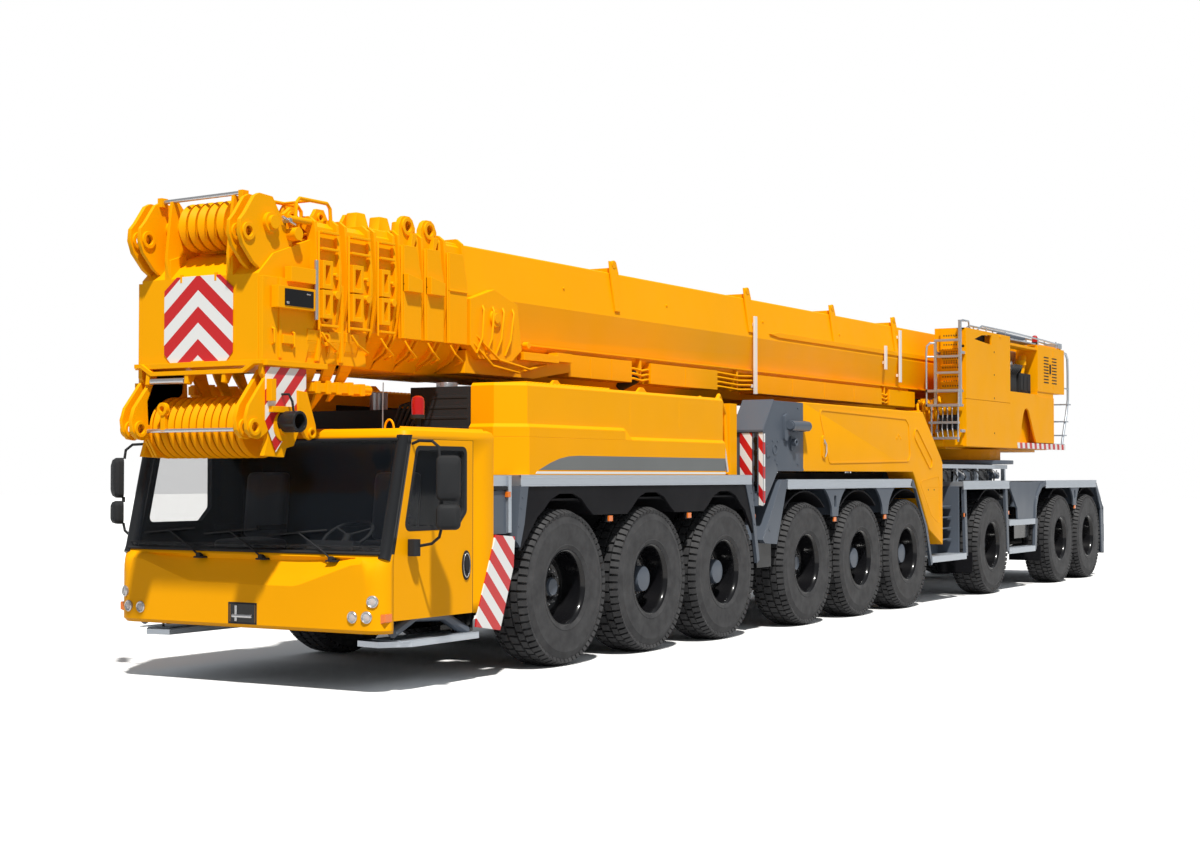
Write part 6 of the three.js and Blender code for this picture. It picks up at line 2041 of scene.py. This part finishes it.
def collar(name, body, d0, d1, level):
    ring = Work(YELLOW)
    low = BOOM_KEEL + 0.010 + 0.006 * level
    grow = 0.030 - 0.012 * level
    bore = collar_loop(grow - 0.075, low + 0.10)
    for a, b in ((d0, d0 + 0.035), (d1 - 0.035, d1)):
        ring.hollow_along(a, b, collar_loop(grow + 0.012, low - 0.008), bore)
    ring.hollow_along(d0 + 0.02, d1 - 0.02, collar_loop(grow - 0.022, low + 0.025), bore)
    half, span = 0.715 + grow, d1 - d0
    for away in (-1, 1):
        skin = away * (half - 0.03)
        near, far = sorted((skin, skin + away * 0.065))
        if level > 2:
            for z in (3.12, 3.37):
                frame = [(d0 + 0.05, z), (d0 + span * 0.56, z), (d0 + span * 0.56, z + 0.24),
                         (d0 + 0.05, z + 0.24)]
                ring.hollow_across(near, far, frame, [(d0 + 0.085, z + 0.04), (d0 + span * 0.45, z + 0.04),
                                                      (d0 + span * 0.45, z + 0.20), (d0 + 0.085, z + 0.20)])
            for z in (3.05, 3.70, 3.84):
                ring.box(near, far - 0.008, d0 + 0.05, d1 - 0.05, z, z + 0.022)
            ring.bar((skin, d0 + span * 0.78, 3.33), (skin + away * 0.06, d0 + span * 0.78, 3.33), 0.035, 18)
            ring.bar((skin, d0 + span * 0.78, 3.50), (skin + away * 0.05, d0 + span * 0.78, 3.50), 0.020, 14)
        else:
            ring.across(near, far, [(d0 + 0.02, 3.02), (d1 - 0.02, 3.02), (d1 - 0.02, 3.60),
                                    (d1 - 0.10, 3.86), (d0 + 0.02, 3.86)])
            if level:
                ring.across(near, far + 0.05, [(d0 + 0.02, 3.44), (d0 + 0.24, 3.44), (d0 + 0.24, 3.56),
                                               (d0 + 0.02, 3.60)])
            ring.box(near, far + 0.012, d0 + 0.02, d1 - 0.02, 3.50, 3.515)
        if level > 2:
            lug = [(d0 + 0.02, 3.90), (d0 + 0.03, 4.06), (d0 + 0.08, 4.13), (d0 + 0.18, 4.13),
                   (d0 + span * 0.72, 4.02), (d0 + span * 0.85, 3.90)]
            place = away * (0.44 - 0.05 * level)
            drilled(ring, place - 0.02, place + 0.02, lug, d0 + 0.125, 4.055, 0.026)
        elif level:
            middle, place = d0 + 0.155, away * 0.662
            lug = [(middle - 0.125, 3.66), (middle - 0.125, 4.04), (middle - 0.085, 4.11),
                   (middle - 0.04, 4.137), (middle + 0.04, 4.137), (middle + 0.085, 4.11),
                   (middle + 0.125, 4.04), (middle + 0.125, 3.66)]
            drilled(ring, place - 0.024, place + 0.024, lug, middle, 4.042, 0.048)
            brace = [(middle - 0.02, 3.70), (middle + 0.10, 3.98), (middle + 0.02, 3.98)]
            ring.across(min(place, place + away * 0.07), max(place, place + away * 0.07), brace)
        ring.box(away * 0.18 - 0.07, away * 0.18 + 0.07, d0 + 0.05, d1 - 0.05, BOOM_TOP + grow - 0.01,
                 BOOM_TOP + grow + 0.035)
    ring.tube([(half + 0.015, d0 + 0.02, 3.02), (half + 0.03, d0 - 0.005, 3.40),
               (half + 0.01, d0 + 0.02, 3.85)], 0.011, 6)
    ring.tube([(half + 0.02, d0 + 0.05, 3.00), (half + 0.045, d0 + 0.10, 2.92), (half, d1 - 0.05, 2.86),
               (half - 0.12, d1 - 0.01, 2.83)], 0.012, 6)
    ring.done(name, body, 0.004)


def shoe(work, d0, d1, x0, x1, low):
    """A curved shell that hangs from a collar's side and tapers to a point below it."""
    high = 3.02
    steps = 7
    for i in range(steps):
        t0, t1 = i / steps, (i + 1) / steps
        z0, z1 = high + (low - high) * t0, high + (low - high) * t1
        a0, a1 = x1 - (x1 - x0) * t0 ** 2, x1 - (x1 - x0) * t1 ** 2
        inset0, inset1 = 0.5 * (d1 - d0) * t0 ** 3 * 0.8, 0.5 * (d1 - d0) * t1 ** 3 * 0.8
        verts = [work.mesh.verts.new((x, aft(d), z)) for x, d, z in ((a0 - 0.03, d0 + inset0, z0),
                (a0, d0 + inset0, z0), (a0, d1 - inset0, z0), (a0 - 0.03, d1 - inset0, z0),
                (a1 - 0.03, d0 + inset1, z1), (a1, d0 + inset1, z1), (a1, d1 - inset1, z1),
                (a1 - 0.03, d1 - inset1, z1))]
        made = [work.mesh.faces.new([verts[k] for k in ids]) for ids in (
            (0, 1, 2, 3), (7, 6, 5, 4), (4, 5, 1, 0), (5, 6, 2, 1), (6, 7, 3, 2), (7, 4, 0, 3))]
        bmesh.ops.recalc_face_normals(work.mesh, faces=made)
        work.take(verts)


COLLARS = (("boom_section_3", -1.940, 3), ("boom_section_2", -1.610, 2), ("boom_section_1", -1.280, 1))
for body, d0, level in COLLARS:
    collar(f"collar_{level}", body, d0, d0 + 0.305, level)
collar("head_collar_front", HEAD_BODY, -2.745, -2.420, 3)
collar("head_collar_rear", HEAD_BODY, -2.345, -1.990, 3)
collar("base_collar", "boom_base", -0.945, -0.620, 0)


def add_shoes():
    shoes = Work(YELLOW)
    for d0, d1, low in ((-2.84, -2.64, 2.34), (-2.56, -2.40, 2.36), (-2.33, -2.16, 2.44)):
        shoe(shoes, d0, d1, 0.44, 0.70, low)
    shoes.box(-0.60, 0.60, -2.80, -2.20, 2.71, 2.76)
    shoes.box(0.62, 0.70, -2.78, -1.98, 2.50, 2.575)
    for i, d in enumerate((-2.74, -2.60, -2.46, -2.30, -2.14)):
        shoes.box(0.60, 0.715, d, d + 0.055, 2.485, 2.59 + 0.008 * (i % 2))
    shoes.bar((0.66, -2.12, 2.54), (0.66, -1.97, 2.54), 0.045, 16)
    shoes.mirror().done("head_shoes", HEAD_BODY, 0.004)


def add_head_rail():
    rail = Work(YELLOW)
    for x in (0.30, 0.62):
        rail.tube([(x, -2.92, 3.80), (x, -2.90, 4.08), (x, -2.86, 4.12), (x, -2.50, 4.12), (x, -2.46, 4.08),
                   (x, -2.44, 3.84)], 0.017, 8)
    rail.bar((0.30, -2.70, 4.12), (0.62, -2.70, 4.12), 0.013, 8)
    drilled(rail, 0.52, 0.56, [(-2.98, 3.70), (-2.98, 3.98), (-2.90, 4.04), (-2.80, 3.98), (-2.76, 3.80)],
            -2.89, 3.95, 0.036)
    rail.bar((0.60, -2.98, 3.80), (0.72, -2.98, 3.80), 0.055, 20).bar((0.64, -3.02, 3.93),
            (0.64, -2.74, 3.93), 0.028, 14)
    rail.use(STEEL).bar((0.735, -2.775, 3.10), (0.735, -2.775, 3.60), 0.018, 12)
    rail.mirror().done("head_guard_rail", HEAD_BODY, 0.003)


add_shoes()
add_head_rail()

# %% [markdown]
# ## Boom base
# The long outer section carries a raised rib, straps over its top, a row of cover boxes with pipes between
# them, white guard strips and, at its front, the pad housings that grip the first inner section.

# %% Rib, straps, cover boxes and pipes along the boom
def add_side_trunk():
    """The row of cover boxes that hangs along each lower flank, with pipes where it is broken."""
    trunk = Work(YELLOW)
    for d0, d1, panels in ((1.28, 2.60, 3), (3.02, 4.65, 2), (5.74, 9.80, 4), (10.08, 11.10, 1)):
        length = (d1 - d0) / panels
        for i in range(panels):
            trunk.box(0.44, 0.704, d0 + i * length + 0.004, d0 + (i + 1) * length - 0.004, 2.815, 3.045)
        trunk.box(0.46, 0.696, d0 + 0.01, d1 - 0.01, 2.825, 3.035)
    for d0, d1, count in ((2.59, 3.04, 3), (4.64, 5.76, 4), (9.78, 10.10, 3)):
        for i in range(count):
            z = 2.86 + 0.055 * i
            trunk.tube([(0.66, d0, z), (0.685, d0 + 0.08, z), (0.700, (d0 + d1) / 2, z - 0.02),
                        (0.685, d1 - 0.08, z), (0.66, d1, z)], 0.015, 8)
        trunk.box(0.55, 0.69, (d0 + d1) / 2 - 0.02, (d0 + d1) / 2 + 0.02, 2.82, 3.08)
    trunk.use(HOSE).bar((0.42, 2.80, 2.80), (0.66, 2.80, 2.90), 0.075, 20)
    trunk.mirror().done("boom_side_trunk", "boom_base", 0.004)


def add_boom_base_details():
    base = Work(YELLOW)
    half = 0.720
    base.across(half - 0.045, half + 0.012, [(6.05, 3.575), (6.30, 3.545), (12.3, 3.545), (12.3, 3.610),
                                             (6.30, 3.610)])
    base.box(0.655, 0.700, -0.60, 13.8, 3.085, 3.105)
    for d in (1.2, 3.4, 5.9, 8.3, 10.4):
        base.bar((0.66, d, 3.72), (0.705, d, 3.72), 0.014, 10)
    base.mirror()
    base.done("boom_base_seams", "boom_base", 0.003)
    straps = Work(YELLOW)
    for d in (2.25, 5.50, 8.10, 10.33):
        edge = [(0.668, d - 0.070, 4.105), (0.690, d - 0.085, 3.984), (0.732, d - 0.050, 3.560)]
        outer = edge + [(x, 2 * d - y, z) for x, y, z in reversed(edge)]
        straps.loft([(x - 0.022, y, z) for x, y, z in outer], outer)
        straps.box(0.20, 0.66, d - 0.035, d + 0.035, 3.975, 4.035)
        straps.bar((0.655, d, 4.07), (0.685, d, 4.07), 0.045, 18)
    straps.mirror().done("boom_straps", "boom_base", 0.004)
    add_side_trunk()
    strips = Work(WHITE)
    for d, z0, z1 in ((5.58, 2.80, 3.76), (9.84, 3.32, 3.66), (10.40, 3.16, 3.92)):
        strips.box(0.735, 0.760, d - 0.035, d + 0.035, z0, z1)
        strips.box(0.690, 0.740, d - 0.02, d + 0.02, z0 + 0.08, z0 + 0.12)
        strips.box(0.690, 0.740, d - 0.02, d + 0.02, z1 - 0.12, z1 - 0.08)
    strips.mirror().done("boom_guard_strips", "boom_base", 0.003)
    pipes = Work(YELLOW)
    for x, z in ((0.30, 4.005), (0.36, 4.005), (-0.33, 4.010)):
        pipes.tube([(x, -0.55, z), (x, 4.0, z), (x, 9.0, z), (x, 13.6, z)], 0.016, 8)
    pipes.use(STEEL).tube([(0.0, -0.60, 4.02), (0.0, 6.0, 4.02), (0.0, 14.2, 4.02)], 0.011, 6)
    pipes.done("boom_top_lines", "boom_base", 0)
    housing = Work(YELLOW)
    housing.across(0.660, 0.790, [(-0.60, 3.02), (-0.60, 3.46), (-0.20, 3.58), (0.20, 3.46), (0.28, 3.02),
                                  (0.10, 2.90), (-0.45, 2.90)])
    housing.across(0.40, 0.720, [(-0.60, 2.76), (-0.58, 2.98), (1.30, 3.02), (1.30, 2.86), (0.60, 2.76)])
    housing.box(0.66, 0.80, 0.30, 0.95, 2.93, 3.01).box(0.66, 0.775, 0.95, 1.25, 2.95, 3.04)
    housing.bar((0.70, -0.20, 3.30), (0.815, -0.20, 3.30), 0.085, 28).bar((0.81, -0.20, 3.30),
            (0.828, -0.20, 3.30), 0.05, 20)
    housing.bar((0.72, 0.42, 3.08), (0.78, 0.42, 3.08), 0.035, 16)
    for i in range(4):
        housing.tube([(0.79, -0.50 + 0.16 * i, 2.95), (0.83, -0.46 + 0.16 * i, 3.10),
                      (0.82, -0.42 + 0.17 * i, 3.36), (0.76, -0.38 + 0.17 * i, 3.44)], 0.012, 8)
    housing.tube([(0.78, -0.55, 3.05), (0.84, -0.30, 2.84), (0.80, 0.20, 2.80), (0.70, 0.70, 2.88)], 0.014, 8)
    housing.tube([(0.78, -0.50, 3.12), (0.85, -0.20, 2.90), (0.80, 0.40, 2.84), (0.70, 0.90, 2.92)], 0.014, 8)
    housing.mirror().done("boom_front_housings", "boom_base", 0.005)


add_boom_base_details()

# %% [markdown]
# ## Floor and light
# A pale floor keeps the machine's shadow. It looks white to the camera but sends less light back up, so the
# paint keeps its colour. A broad soft sun stands high on the left, ahead of the cab, and a pale sky fills
# the shaded side.

# %% Floor, sky and sun
FLOOR_HALF = 120


def seen_directly(tree):
    """1 for what the camera, a mirror or a window sees, and 0 for light that bounces."""
    rays = tree.nodes.new("ShaderNodeLightPath")
    total = rays.outputs["Is Camera Ray"]
    for kind in ("Is Glossy Ray", "Is Transmission Ray"):
        either = tree.nodes.new("ShaderNodeMath")
        either.operation = "MAXIMUM"
        tree.links.new(total, either.inputs[0])
        tree.links.new(rays.outputs[kind], either.inputs[1])
        total = either.outputs[0]
    return total


def add_floor():
    material, tree, shader = new_material("pale_floor")
    mix = add_node(tree, "ShaderNodeMix")
    mix.data_type = "RGBA"
    seen = ramp(tree, noise(tree, 0.3), [(0.3, (0.93,) * 3), (0.7, (0.96,) * 3)])
    tree.links.new(seen_directly(tree), mix.inputs["Factor"])
    mix.inputs[6].default_value = (0.36, 0.37, 0.39, 1)
    tree.links.new(seen, mix.inputs[7])
    tree.links.new(mix.outputs[2], shader.inputs["Base Color"])
    shader.inputs["Roughness"].default_value = 0.9
    shader.inputs["Specular IOR Level"].default_value = 0.1
    data = bpy.data.meshes.new("floor")
    corners = [(-FLOOR_HALF, -FLOOR_HALF, 0), (FLOOR_HALF, -FLOOR_HALF, 0),
               (FLOOR_HALF, FLOOR_HALF, 0), (-FLOOR_HALF, FLOOR_HALF, 0)]
    data.from_pydata(corners, [], [(0, 1, 2, 3)])
    data.materials.append(material)
    floor = bpy.data.objects.new("floor", data)
    bpy.context.scene.collection.objects.link(floor)


def add_sky(strength=0.36):
    world = bpy.data.worlds.new("pale_sky")
    bpy.context.scene.world = world
    world.use_nodes = True
    tree = world.node_tree
    light = tree.nodes["Background"]
    light.inputs["Color"].default_value = (0.90, 0.95, 1.0, 1)
    light.inputs["Strength"].default_value = strength
    white = add_node(tree, "ShaderNodeBackground", Color=(1, 1, 1, 1), Strength=1.0)
    rays = tree.nodes.new("ShaderNodeLightPath")
    mix = tree.nodes.new("ShaderNodeMixShader")
    tree.links.new(rays.outputs["Is Camera Ray"], mix.inputs["Fac"])
    tree.links.new(light.outputs["Background"], mix.inputs[1])
    tree.links.new(white.outputs["Background"], mix.inputs[2])
    tree.links.new(mix.outputs["Shader"], tree.nodes["World Output"].inputs["Surface"])


def add_sun(strength=4.6, azimuth=42, height=59):
    """Azimuth is measured from -Y, the front, towards +X, the left side."""
    sun = bpy.data.objects.new("sun", bpy.data.lights.new("sun", "SUN"))
    sun.data.energy = strength
    sun.data.angle = math.radians(2.5)
    sun.data.color = (1.0, 0.975, 0.93)
    sun.rotation_euler = (math.radians(90 - height), 0, math.radians(azimuth))
    bpy.context.scene.collection.objects.link(sun)


add_floor()
add_sky()
add_sun()
bpy.context.scene.view_settings.view_transform = "Standard"
print("sky and sun in place, floor", 2 * FLOOR_HALF, "m across")
